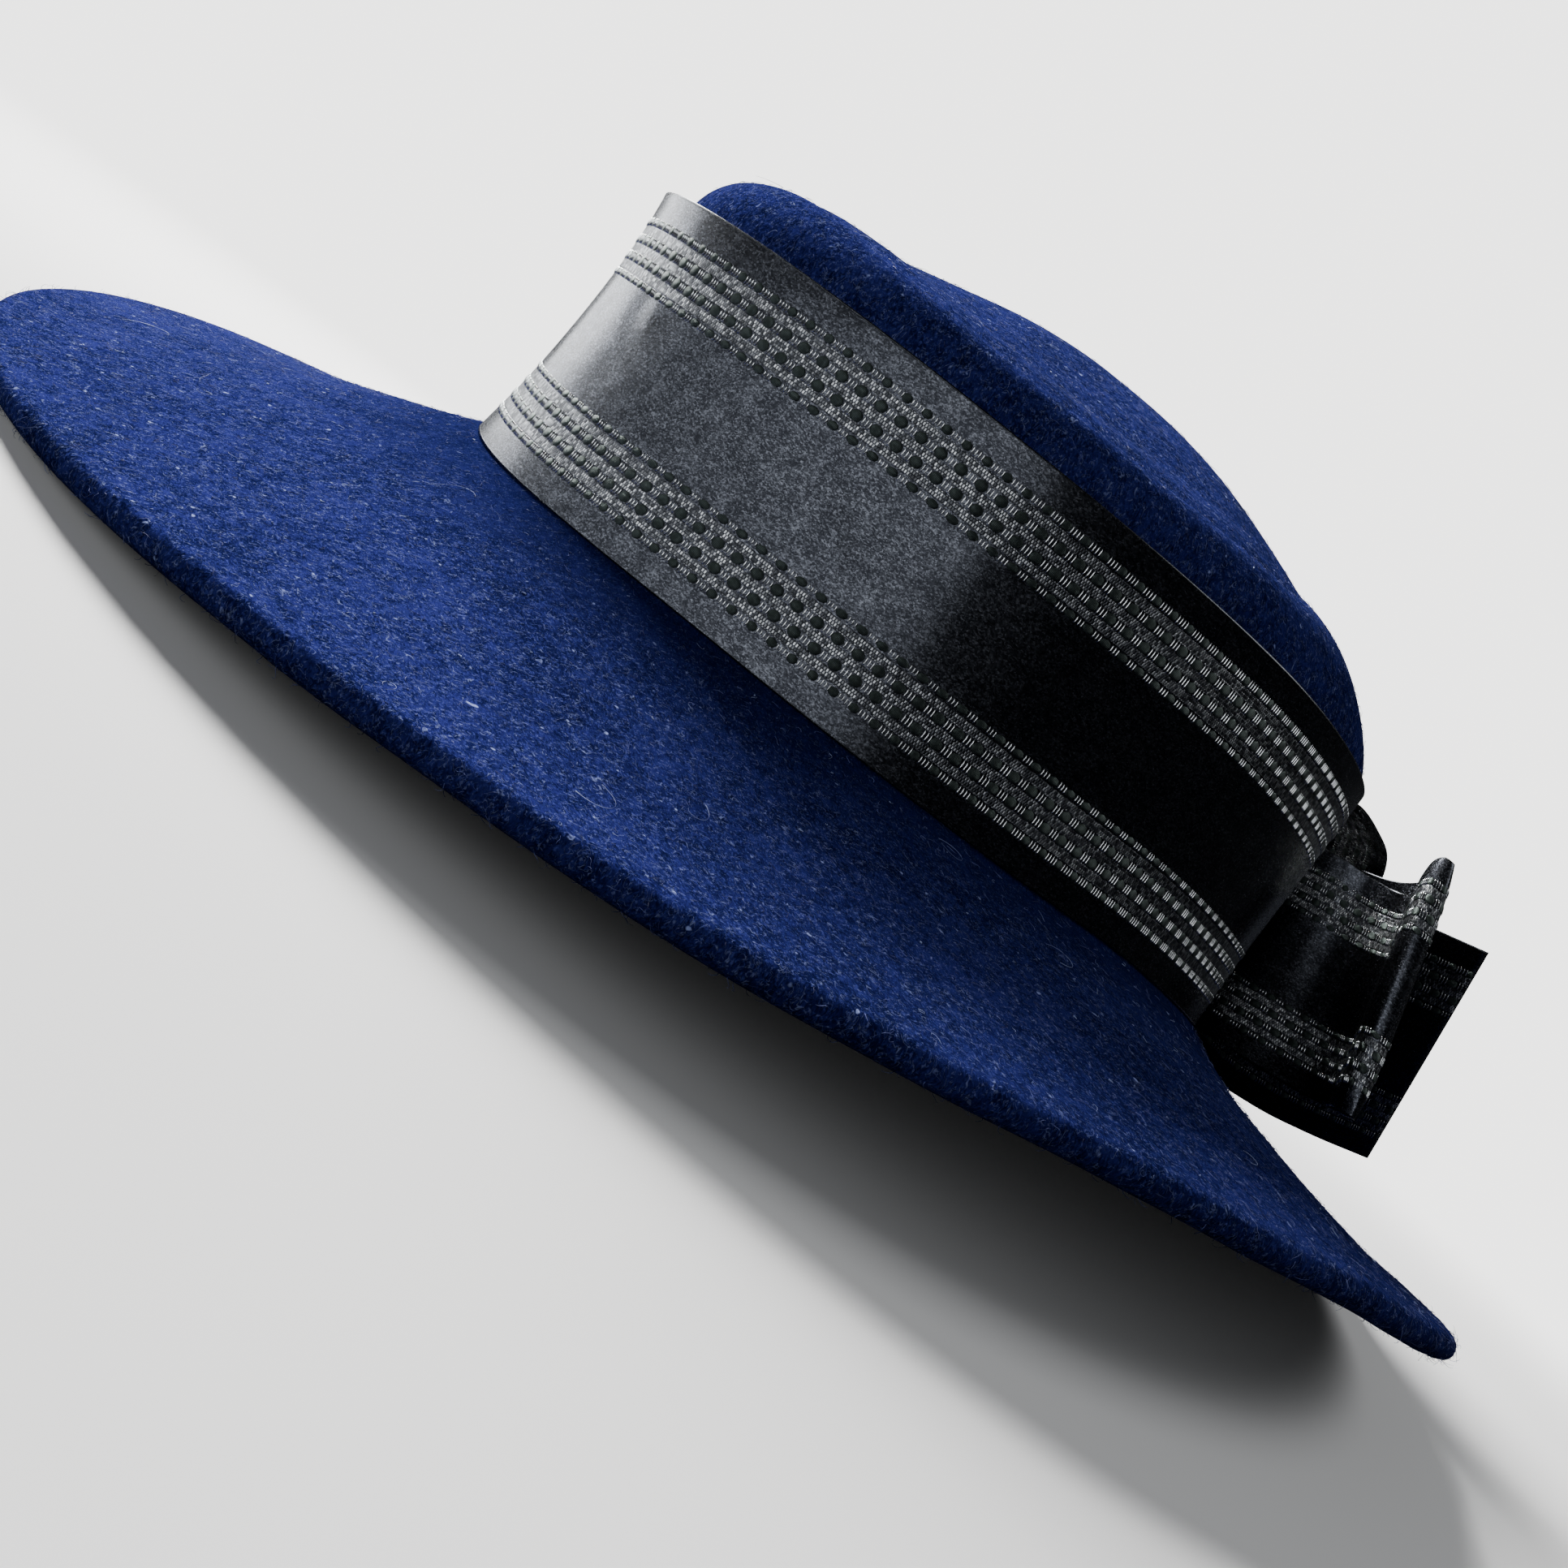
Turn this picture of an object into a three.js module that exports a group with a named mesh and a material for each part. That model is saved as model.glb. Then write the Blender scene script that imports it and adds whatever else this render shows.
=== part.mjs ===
// A wide-brim felt hat with a wide ribbon band and a tied bow at the back.
//
// Millimetres, +Z up.  The hat lies on its brim on the plane z = 0, its forehead side faces -Y,
// its back faces +Y and the wearer's left side faces +X.  Directions round the hat are angles
// from the forehead (0) through the left side (90), the back (180) and the right side (270).
//
// Pieces: felt_body (crown and brim blocked from one felt), hat_band (the ribbon round the
// crown), bow_loops, bow_tails and bow_knot (the tied bow on the back of the band).

import * as THREE from 'three';
import { mergeVertices } from 'three/addons/utils/BufferGeometryUtils.js';

// ---------------------------------------------------------------- driving sizes

const FELT = 2.4; // wall of the felt
const HEM = 4.8; // thickness of the turned edge of the brim
const HEM_RINGS = 2; // rings in from the edge over which the turned felt thins out
const EDGE_RINGS = 5; // rings round the half-round edge of the brim
const PRESSED = 0.4; // how much the edge flattens under the hat's weight
const BREAK_RADIUS = 2; // hollow corner where the brim leaves the crown

const RIBBON = 1; // wall of the ribbon
const LOOP_STEPS = 64; // sections along the ribbon of the two loops
const TAIL_STEPS = 25; // sections along the ribbon of the two tails
const KNOT_STEPS = 36; // sections along the ribbon of the knot
const SEAT = 0.42; // gap between a piece and the one that carries it
const BAND_LENGTH = 102; // half length of the band at its lower edge, front to back
const BAND_BREADTH = 85.4; // half breadth of the band at its lower edge
const BAND_LIFT = 1; // lower edge of the ribbon above the break of the brim
const BAND_TAPER = 6; // how much smaller all round the band is at its upper edge
const FLARE = 1.6; // extra spread of the crown wall just above the brim
const FLARE_HEIGHT = 7; // height over which that spread dies away

const CROWN_TOP = 119.6; // highest point of the crown above the surface the hat lies on
const CROWN_CENTRE_Y = -3; // where that point is, front to back
const DENT_AT = 0.66; // middle of the hollow in the crown, as a share of its radius

const AROUND = 60; // sections round the hat
const TURN = 2 * Math.PI;

// Band and brim, one row for each eighth of a turn.  Heights are above the surface the hat
// lies on.
//   root      height of the break between crown and brim
//   bandTop   height of the ribbon's upper edge
//   proud     how far the ribbon's upper edge stands off the felt
//   reach     level distance from the band to the edge of the brim
//   rim       height of the middle of the brim's edge
//   hollow    how far the brim dips below a straight slope
const REST = HEM / 2 - PRESSED;
const SECTIONS = [
  { at: 0, root: 32.2, bandTop: 88.3, proud: 3, reach: 74, rim: REST, hollow: 2 },
  { at: 45, root: 34.5, bandTop: 89.2, proud: 0.6, reach: 72, rim: 12.6, hollow: 2 },
  { at: 90, root: 35.1, bandTop: 90.6, proud: 0, reach: 75, rim: 26.2, hollow: 1 },
  { at: 135, root: 28.5, bandTop: 86.8, proud: 0, reach: 69, rim: 15, hollow: 5 },
  { at: 180, root: 23.6, bandTop: 83.9, proud: 0, reach: 67.5, rim: REST, hollow: 5.5 },
  { at: 225, root: 28.5, bandTop: 86.8, proud: 0, reach: 69, rim: 9, hollow: 5 },
  { at: 270, root: 35.1, bandTop: 90.6, proud: 0, reach: 72, rim: 17, hollow: 1 },
  { at: 315, root: 34.5, bandTop: 89.2, proud: 0.6, reach: 72, rim: 8.5, hollow: 2 },
];

// The crown above the ribbon, by the same directions; its two sides are alike.
//   edgeAt    where the shoulder turns, as a share of the way out from the top
//   edge      height of the crown there
//   square    squareness of the shoulder: 2 is a quarter circle, less is flatter
//   dent      depth of the hollow between the shoulder and the top
const CROWN = [
  { at: 0, edgeAt: 0.87, edge: 102, square: 2, dent: 3.8 },
  { at: 45, edgeAt: 0.92, edge: 98.6, square: 2, dent: 4.6 },
  { at: 90, edgeAt: 0.82, edge: 102.5, square: 1.8, dent: 1 },
  { at: 135, edgeAt: 0.6, edge: 109.8, square: 1.35, dent: 0 },
  { at: 180, edgeAt: 0.6, edge: 109, square: 1.35, dent: 0 },
  { at: 225, edgeAt: 0.6, edge: 109.8, square: 1.35, dent: 0 },
  { at: 270, edgeAt: 0.82, edge: 102.5, square: 1.8, dent: 1 },
  { at: 315, edgeAt: 0.92, edge: 98.6, square: 2, dent: 4.6 },
];

// The bow.  Each station is a place along the ribbon's length, on the wearer's left half.
//   x, y, z   middle of the ribbon's width
//   span      width of the ribbon there, less where it is gathered into the knot
//   tuck      how far its upper edge leans towards the middle of the bow, per mm of width
//   lean      how far its upper edge leans towards the crown, per mm of width
const LOOP_STATIONS = [
  { x: 0, y: 101.7, z: 50.5, span: 47, tuck: 0, lean: 0.1 },
  { x: 14, y: 102.2, z: 50.5, span: 48, tuck: 0, lean: 0.1 },
  { x: 30, y: 103.4, z: 51.5, span: 52, tuck: 0.08, lean: 0.08 },
  { x: 46, y: 101.2, z: 55, span: 56, tuck: 0.24, lean: 0.04 },
  { x: 61, y: 95.8, z: 59.6, span: 57, tuck: 0.38, lean: 0 },
  { x: 72.5, y: 90.8, z: 62, span: 58, tuck: 0.43, lean: 0 },
  { x: 75.6, y: 92.3, z: 62.6, span: 58, tuck: 0.43, lean: 0 },
  { x: 73.6, y: 95.3, z: 62.2, span: 58, tuck: 0.43, lean: 0 },
  { x: 61, y: 101.6, z: 59.6, span: 57, tuck: 0.38, lean: 0.02 },
  { x: 46, y: 106.6, z: 55, span: 56, tuck: 0.24, lean: 0.06 },
  { x: 30, y: 107.4, z: 51.5, span: 52, tuck: 0.08, lean: 0.1 },
  { x: 14, y: 104.4, z: 50.5, span: 48, tuck: 0, lean: 0.1 },
  { x: 0, y: 103.1, z: 50.5, span: 47, tuck: 0, lean: 0.1 },
];
const TAIL_STATIONS = [
  { x: 0, y: 104.5, z: 50.5, span: 47, tuck: 0, lean: 0.1 },
  { x: 14, y: 107, z: 50.3, span: 49, tuck: 0, lean: 0.12 },
  { x: 30, y: 113.6, z: 50, span: 53, tuck: 0.02, lean: 0.14 },
  { x: 50, y: 119.4, z: 52, span: 56, tuck: 0.05, lean: 0.38 },
  { x: 69.5, y: 122.8, z: 55, span: 57, tuck: -0.07, lean: 0.52 },
];
// The knot is one turn of ribbon round the middle of the bow, seen here from the side.
const KNOT_BREADTH = 56;
const KNOT_PROFILE = [
  { y: 100.75, z: 40 },
  { y: 98.6, z: 62 },
  { y: 97.3, z: 80 },
  { y: 98.4, z: 87.4 },
  { y: 103.5, z: 89 },
  { y: 115, z: 87.6 },
  { y: 124, z: 84.6 },
  { y: 129, z: 78 },
  { y: 130.6, z: 64 },
  { y: 129.8, z: 46 },
  { y: 127, z: 30 },
  { y: 122.5, z: 22.6 },
  { y: 116.5, z: 20.8 },
  { y: 110.5, z: 22.2 },
  { y: 105.4, z: 24.2 },
  { y: 102.5, z: 27 },
];

// ---------------------------------------------------------------- finishes

const feltBlue = new THREE.MeshStandardMaterial({ color: 0x1e2a63, roughness: 0.95, metalness: 0 });
const ribbonBlack = new THREE.MeshStandardMaterial({ color: 0x15161a, roughness: 0.45, metalness: 0 });

// ---------------------------------------------------------------- the table, read at any angle

// Slope of one column at one row: none at a high or low row, otherwise the mean of the slopes
// on its two sides, weighted so that the curve never overshoots the rows.
function columnSlope(table, column, row) {
  const count = table.length;
  const here = table[row][column];
  const before = here - table[(row + count - 1) % count][column];
  const after = table[(row + 1) % count][column] - here;
  return before * after <= 0 ? 0 : (2 * before * after) / (before + after);
}

// Value of a table's column in the direction angle, in radians.
function read(table, column, angle) {
  const count = table.length;
  const place = (((angle / TURN) * count) % count + count) % count;
  const row = Math.floor(place) % count;
  const next = (row + 1) % count;
  const t = place - Math.floor(place);
  const rise = t * t * (3 - 2 * t);
  const leave = t * (1 - t) * (1 - t);
  const arrive = t * t * (1 - t);
  return (
    table[row][column] * (1 - rise) +
    table[next][column] * rise +
    columnSlope(table, column, row) * leave -
    columnSlope(table, column, next) * arrive
  );
}

const section = (column, angle) => read(SECTIONS, column, angle);
const crown = (column, angle) => read(CROWN, column, angle);

// ---------------------------------------------------------------- shape of the felt

// The point that lies a level distance out from the band's lower edge, square to that oval.
function fromOval(angle, out, z) {
  const nx = BAND_LENGTH * Math.sin(angle);
  const ny = -BAND_BREADTH * Math.cos(angle);
  const n = Math.hypot(nx, ny);
  const x = BAND_BREADTH * Math.sin(angle) + (out * nx) / n;
  const y = -BAND_LENGTH * Math.cos(angle) + (out * ny) / n;
  return new THREE.Vector3(x, y, z);
}

// How far inside the oval the crown wall stands at a height above the break.
function wallInset(angle, height) {
  const tall = section('bandTop', angle) - section('root', angle);
  const spread = FLARE * (1 - Math.exp(-height / FLARE_HEIGHT));
  const corner = Math.max(0, BREAK_RADIUS - height);
  const sweep = BREAK_RADIUS - Math.sqrt(BREAK_RADIUS ** 2 - corner ** 2);
  return RIBBON + SEAT + ((BAND_TAPER - FLARE) * height) / tall + spread - sweep;
}

// Upper face of the brim, from the break (share 0) to the edge (share 1).
function brimTop(angle, share) {
  const root = section('root', angle);
  const rim = section('rim', angle) + HEM / 2;
  const start = BREAK_RADIUS - RIBBON - SEAT;
  const out = start + (section('reach', angle) - HEM / 2 - start) * share;
  const dip = 4 * section('hollow', angle) * share * (1 - share);
  return fromOval(angle, out, root + (rim - root) * share - dip);
}

// Crown above the ribbon: share 1 is at the ribbon's upper edge, share 0 at the top.
function crownTop(angle, share) {
  const start = section('bandTop', angle);
  const rim = fromOval(angle, -wallInset(angle, start - section('root', angle)), start);
  const at = crown('edgeAt', angle);
  const edge = crown('edge', angle);
  let z;
  if (share > at) {
    const square = crown('square', angle);
    z = start + (edge - start) * (1 - ((share - at) / (1 - at)) ** square) ** (1 / square);
  } else {
    const dome = CROWN_TOP - (CROWN_TOP - edge) * (share / at) ** 2;
    const spread = share < DENT_AT ? share / DENT_AT : (at - share) / (at - DENT_AT);
    const depth = crown('dent', angle) * Math.sin((Math.PI / 2) * Math.max(0, Math.min(1, spread))) ** 2;
    z = dome - depth;
  }
  const centre = new THREE.Vector3(0, CROWN_CENTRE_Y, 0);
  return new THREE.Vector3(
    centre.x + (rim.x - centre.x) * share,
    centre.y + (rim.y - centre.y) * share,
    z,
  );
}

// ---------------------------------------------------------------- meshes from rings

const ringOf = (point) => Array.from({ length: AROUND }, (_, i) => point((TURN * (i + 0.5)) / AROUND));

// Closed body from rings of equal length.  Each ring closes on itself.  The stack of rings
// either closes on its first ring or is closed by a pole point or a flat face at each end.
function bodyFromRings(rings, { wrap = false, poles = null } = {}) {
  const size = rings[0].length;
  const points = rings.flat();
  const faces = [];
  const last = wrap ? rings.length : rings.length - 1;
  for (let j = 0; j < last; j += 1) {
    const low = j * size;
    const high = ((j + 1) % rings.length) * size;
    for (let i = 0; i < size; i += 1) {
      const k = (i + 1) % size;
      faces.push(low + i, low + k, high + k);
      faces.push(low + i, high + k, high + i);
    }
  }
  if (poles) {
    const first = points.push(poles[0]) - 1;
    const final = points.push(poles[1]) - 1;
    const top = (rings.length - 1) * size;
    for (let i = 0; i < size; i += 1) {
      const k = (i + 1) % size;
      faces.push(first, k, i);
      faces.push(final, top + i, top + k);
    }
  } else if (!wrap) {
    const top = (rings.length - 1) * size;
    for (let i = 1; i < size - 1; i += 1) {
      faces.push(0, i + 1, i);
      faces.push(top, top + i, top + i + 1);
    }
  }
  const geometry = new THREE.BufferGeometry();
  geometry.setAttribute('position', new THREE.Float32BufferAttribute(points.flatMap((p) => p.toArray()), 3));
  geometry.setIndex(faces);
  const merged = mergeVertices(geometry, 1e-4);
  if (signedVolume(merged) < 0) {
    turnFacesOut(merged);
  }
  merged.computeVertexNormals();
  return merged;
}

function signedVolume(geometry) {
  const position = geometry.getAttribute('position');
  const index = geometry.getIndex();
  const corners = [new THREE.Vector3(), new THREE.Vector3(), new THREE.Vector3()];
  let volume = 0;
  for (let f = 0; f < index.count; f += 3) {
    corners.forEach((corner, c) => corner.fromBufferAttribute(position, index.getX(f + c)));
    volume += corners[0].dot(corners[1].cross(corners[2])) / 6;
  }
  return volume;
}

function turnFacesOut(geometry) {
  const index = geometry.getIndex();
  for (let f = 0; f < index.count; f += 3) {
    const second = index.getX(f + 1);
    index.setX(f + 1, index.getX(f + 2));
    index.setX(f + 2, second);
  }
}

// ---------------------------------------------------------------- felt body

// The same rings moved inwards by a thickness, square to the surface that the rings describe.
function offsetRings(rings, thickness) {
  const size = rings[0].length;
  return rings.map((ring, j) =>
    ring.map((point, i) => {
      const round = ring[(i + 1) % size].clone().sub(ring[(i + size - 1) % size]);
      const before = rings[Math.max(0, j - 1)][i];
      const after = rings[Math.min(rings.length - 1, j + 1)][i];
      const along = after.clone().sub(before);
      const normal = round.cross(along).normalize();
      return point.clone().addScaledVector(normal, -thickness(j));
    }),
  );
}

function feltBody() {
  const brimShares = [1, 0.93, 0.85, 0.73, 0.59, 0.44, 0.29, 0.14, 0];
  const wallSteps = [0.4, 1, 2, 5, 11, 22, 40];
  const crownShares = [1, 0.98, 0.95, 0.9, 0.84, 0.77, 0.68, 0.58, 0.47, 0.36, 0.24, 0.12];
  const outer = [
    ...brimShares.map((share) => ringOf((angle) => brimTop(angle, share))),
    ...wallSteps.map((height) => ringOf((angle) => wallPoint(angle, height))),
    ...crownShares.map((share) => ringOf((angle) => crownTop(angle, share))),
  ];
  const wall = (j) => (j < HEM_RINGS ? HEM - ((HEM - FELT) * j) / HEM_RINGS : FELT);
  const inner = offsetRings(outer, wall);
  inner.forEach((ring) => ring.forEach((point) => point.setZ(Math.max(point.z, 0))));
  const edge = edgeRings(outer[0], inner[0]);
  const apex = new THREE.Vector3(0, CROWN_CENTRE_Y, CROWN_TOP);
  const inside = new THREE.Vector3(0, CROWN_CENTRE_Y, CROWN_TOP - FELT);
  return bodyFromRings([...inner.reverse(), ...edge, ...outer], { poles: [inside, apex] });
}

function wallPoint(angle, height) {
  const root = section('root', angle);
  return fromOval(angle, -wallInset(angle, height), root + height);
}

// Half-round edge of the brim, from its under face to its upper face.
function edgeRings(upper, under) {
  return Array.from({ length: EDGE_RINGS }, (_, s) => {
    const turn = (Math.PI * (s + 1)) / (EDGE_RINGS + 1);
    return upper.map((top, i) => {
      const angle = (TURN * (i + 0.5)) / AROUND;
      const middle = top.clone().add(under[i]).multiplyScalar(0.5);
      const up = top.clone().sub(middle);
      const out = fromOval(angle, 1, 0).sub(fromOval(angle, 0, 0));
      middle.addScaledVector(up, -Math.cos(turn)).addScaledVector(out, (HEM / 2) * Math.sin(turn));
      return middle.setZ(Math.max(middle.z, 0));
    });
  });
}

// ---------------------------------------------------------------- ribbon band

function hatBand() {
  const shares = [0, 0.05, 0.14, 0.34, 0.66, 1];
  const face = (share, out) =>
    ringOf((angle) => {
      const root = section('root', angle);
      const tall = section('bandTop', angle) - root;
      const height = BAND_LIFT + (tall - BAND_LIFT) * share;
      const off = SEAT + section('proud', angle) * share ** 2 + out;
      return fromOval(angle, off - wallInset(angle, height), root + height);
    });
  const inner = shares.map((share) => face(share, 0));
  const outer = shares.map((share) => face(share, RIBBON)).reverse();
  return bodyFromRings([...inner, ...outer], { wrap: true });
}

// ---------------------------------------------------------------- bow

// The right half of the bow mirrors the left, so a table of stations that starts in the middle
// of the bow is run backwards with x turned over, and then forwards.
function mirrored(stations) {
  const other = stations.map((row) => ({ ...row, x: -row.x, tuck: -row.tuck }));
  return { left: stations, right: other.reverse() };
}

// Points and width directions along smooth curves through the stations.
function ribbonCourse(stations, closed, steps) {
  const curve = (pick) =>
    new THREE.CatmullRomCurve3(stations.map(pick), closed, 'centripetal');
  const middles = curve((row) => new THREE.Vector3(row.x, row.y, row.z));
  const halves = stations.map((row) => {
    const up = new THREE.Vector3(-row.tuck, -row.lean, 1).normalize();
    return new THREE.Vector3(row.x, row.y, row.z).addScaledVector(up, row.span / 2);
  });
  const tops = new THREE.CatmullRomCurve3(halves, closed, 'centripetal');
  const last = closed ? steps : steps - 1;
  return Array.from({ length: steps }, (_, s) => {
    const middle = middles.getPoint(s / last);
    return { middle, half: tops.getPoint(s / last).sub(middle) };
  });
}

// A strip of ribbon: a thin rectangle carried along the course.
function ribbonStrip(course, closed) {
  const count = course.length;
  const rings = course.map(({ middle, half }, s) => {
    const before = course[closed ? (s + count - 1) % count : Math.max(0, s - 1)].middle;
    const after = course[closed ? (s + 1) % count : Math.min(count - 1, s + 1)].middle;
    const normal = after.clone().sub(before).cross(half).setLength(RIBBON / 2);
    const corner = (up, out) => middle.clone().addScaledVector(half, up).addScaledVector(normal, out);
    return [corner(-1, -1), corner(1, -1), corner(1, 1), corner(-1, 1)];
  });
  return bodyFromRings(rings, { wrap: closed });
}

function bowLoops() {
  const { left, right } = mirrored(LOOP_STATIONS);
  const stations = [...left.slice(0, -1), ...right.slice(0, -1)];
  return ribbonStrip(ribbonCourse(stations, true, LOOP_STEPS), true);
}

function bowTails() {
  const { left, right } = mirrored(TAIL_STATIONS);
  return ribbonStrip(ribbonCourse([...right, ...left.slice(1)], false, TAIL_STEPS), false);
}

function bowKnot() {
  const stations = KNOT_PROFILE.map(({ y, z }) => new THREE.Vector3(0, y, z));
  const curve = new THREE.CatmullRomCurve3(stations, true, 'centripetal');
  const half = new THREE.Vector3(KNOT_BREADTH / 2, 0, 0);
  const places = Array.from({ length: KNOT_STEPS }, (_, s) => curve.getPoint(s / KNOT_STEPS));
  return ribbonStrip(places.map((place) => ({ middle: place, half })), true);
}

// ---------------------------------------------------------------- the hat

const hat = new THREE.Group();
const pieces = [
  ['felt_body', feltBody, feltBlue],
  ['hat_band', hatBand, ribbonBlack],
  ['bow_loops', bowLoops, ribbonBlack],
  ['bow_tails', bowTails, ribbonBlack],
  ['bow_knot', bowKnot, ribbonBlack],
];
pieces.forEach(([name, shape, material]) => {
  const mesh = new THREE.Mesh(shape(), material.clone());
  mesh.name = name;
  hat.add(mesh);
});

// The origin is on the surface the hat lies on, under the middle of the whole hat.
const middle = new THREE.Box3().setFromObject(hat).getCenter(new THREE.Vector3());
hat.children.forEach((mesh) => mesh.geometry.translate(-middle.x, -middle.y, 0));

export default hat;
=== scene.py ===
"""Looks of a wide-brim felt hat with a broad ribbon band and a tied bow at the back.

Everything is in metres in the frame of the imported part: +Z up, the hat lying on the floor at
z = 0, its forehead side towards -Y, the bow towards +Y and the wearer's left side towards +X.
Driving sizes are in millimetres, as on a hatter's sheet, and are turned into metres when a
piece is made.
"""

import logging
import math
from dataclasses import dataclass, field
from enum import Enum

import bmesh
import bpy
import numpy as np
from mathutils import Matrix, Vector


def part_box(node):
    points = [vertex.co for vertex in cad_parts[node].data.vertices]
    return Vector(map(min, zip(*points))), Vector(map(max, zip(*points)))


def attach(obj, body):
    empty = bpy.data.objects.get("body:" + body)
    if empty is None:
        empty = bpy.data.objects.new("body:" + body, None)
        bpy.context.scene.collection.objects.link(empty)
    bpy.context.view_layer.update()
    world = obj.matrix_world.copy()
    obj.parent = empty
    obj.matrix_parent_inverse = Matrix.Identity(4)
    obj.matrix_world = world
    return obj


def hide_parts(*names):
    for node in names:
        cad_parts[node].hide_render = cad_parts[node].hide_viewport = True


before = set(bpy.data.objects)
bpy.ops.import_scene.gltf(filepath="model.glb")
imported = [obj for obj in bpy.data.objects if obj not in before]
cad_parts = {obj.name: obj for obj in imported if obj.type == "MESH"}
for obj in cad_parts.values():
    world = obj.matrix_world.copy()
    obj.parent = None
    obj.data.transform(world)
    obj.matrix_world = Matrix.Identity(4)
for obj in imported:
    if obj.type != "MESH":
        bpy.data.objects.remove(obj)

LOG = logging.getLogger("hat")
MM = 0.001
MM_PER_METRE = 1000
TURN = 2 * math.pi
Colour = tuple[float, float, float]
Point = tuple[float, float, float]


class Slot(Enum):
    """Material slots of the part's record."""

    FELT = "felt"
    RIBBON = "ribbon"


class Held(Enum):
    """How a length of ribbon is held."""

    STRETCHED = "stretched"
    FOLDED = "folded"


# ------------------------------------------------------------------ curves and tables


def smooth(share: np.ndarray) -> np.ndarray:
    """A soft rise from 0 to 1."""
    return share * share * (3 - 2 * share)


class Around:
    """A table with one row for each eighth of a turn, read at any angle from the forehead."""

    def __init__(self, **columns: tuple[float, ...]) -> None:
        """Keeps the columns.

        Args:
            columns: each column's name and its values, row by row.
        """
        self.columns = {name: np.array(values, float) for name, values in columns.items()}

    def read(self, column: str, angle: np.ndarray) -> np.ndarray:
        """Reads one column with a smooth curve that never overshoots its rows.

        Args:
            column: name of the column.
            angle: directions in radians.

        Returns:
            The column's value in each direction.
        """
        rows = self.columns[column]
        count = len(rows)
        before = rows - np.roll(rows, 1)
        after = np.roll(rows, -1) - rows
        turns_back = before * after <= 0
        total = np.where(turns_back, 1, before + after)
        slope = np.where(turns_back, 0, 2 * before * after / total)
        place = np.mod(np.asarray(angle, float) / TURN * count, count)
        row = np.floor(place).astype(int) % count
        following = (row + 1) % count
        t = place - np.floor(place)
        rise = smooth(t)
        leave, arrive = t * (1 - t) ** 2, t * t * (1 - t)
        level = rows[row] * (1 - rise) + rows[following] * rise
        return level + slope[row] * leave - slope[following] * arrive


class Spline:
    """A centripetal Catmull-Rom curve through a few points."""

    def __init__(self, points: np.ndarray, closed: bool) -> None:
        """Keeps the points with the neighbours that each stretch needs.

        Args:
            points: the points, one row each.
            closed: whether the curve returns to its first point.
        """
        self.closed = closed
        if closed:
            self.points = np.vstack([points[-1:], points, points[:2]])
            self.stretches = len(points)
        else:
            ends = 2 * points[[0, -1]] - points[[1, -2]]
            self.points = np.vstack([ends[:1], points, ends[1:]])
            self.stretches = len(points) - 1

    def at(self, share: np.ndarray) -> np.ndarray:
        """Points of the curve.

        Args:
            share: places along the curve from 0 to 1, by stations.

        Returns:
            One point for each place.
        """
        place = np.mod(share, 1) if self.closed else np.clip(share, 0, 1)
        place = place * self.stretches
        row = np.minimum(place.astype(int), self.stretches - 1)
        t = (place - row)[:, None]
        a, b, c, d = (self.points[row + k] for k in range(4))
        steps = [np.linalg.norm(q - p, axis=1, keepdims=True) ** 0.5 for p, q in ((a, b), (b, c), (c, d))]
        first, middle, last = (np.maximum(step, 1e-9) for step in steps)
        leave = ((b - a) / first - (c - a) / (first + middle) + (c - b) / middle) * middle
        arrive = ((c - b) / middle - (d - b) / (middle + last) + (d - c) / last) * middle
        square, cube = t * t, t * t * t
        return (
            b * (2 * cube - 3 * square + 1)
            + c * (3 * square - 2 * cube)
            + leave * (cube - 2 * square + t)
            + arrive * (cube - square)
        )


# ------------------------------------------------------------------ shape of the hat


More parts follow.
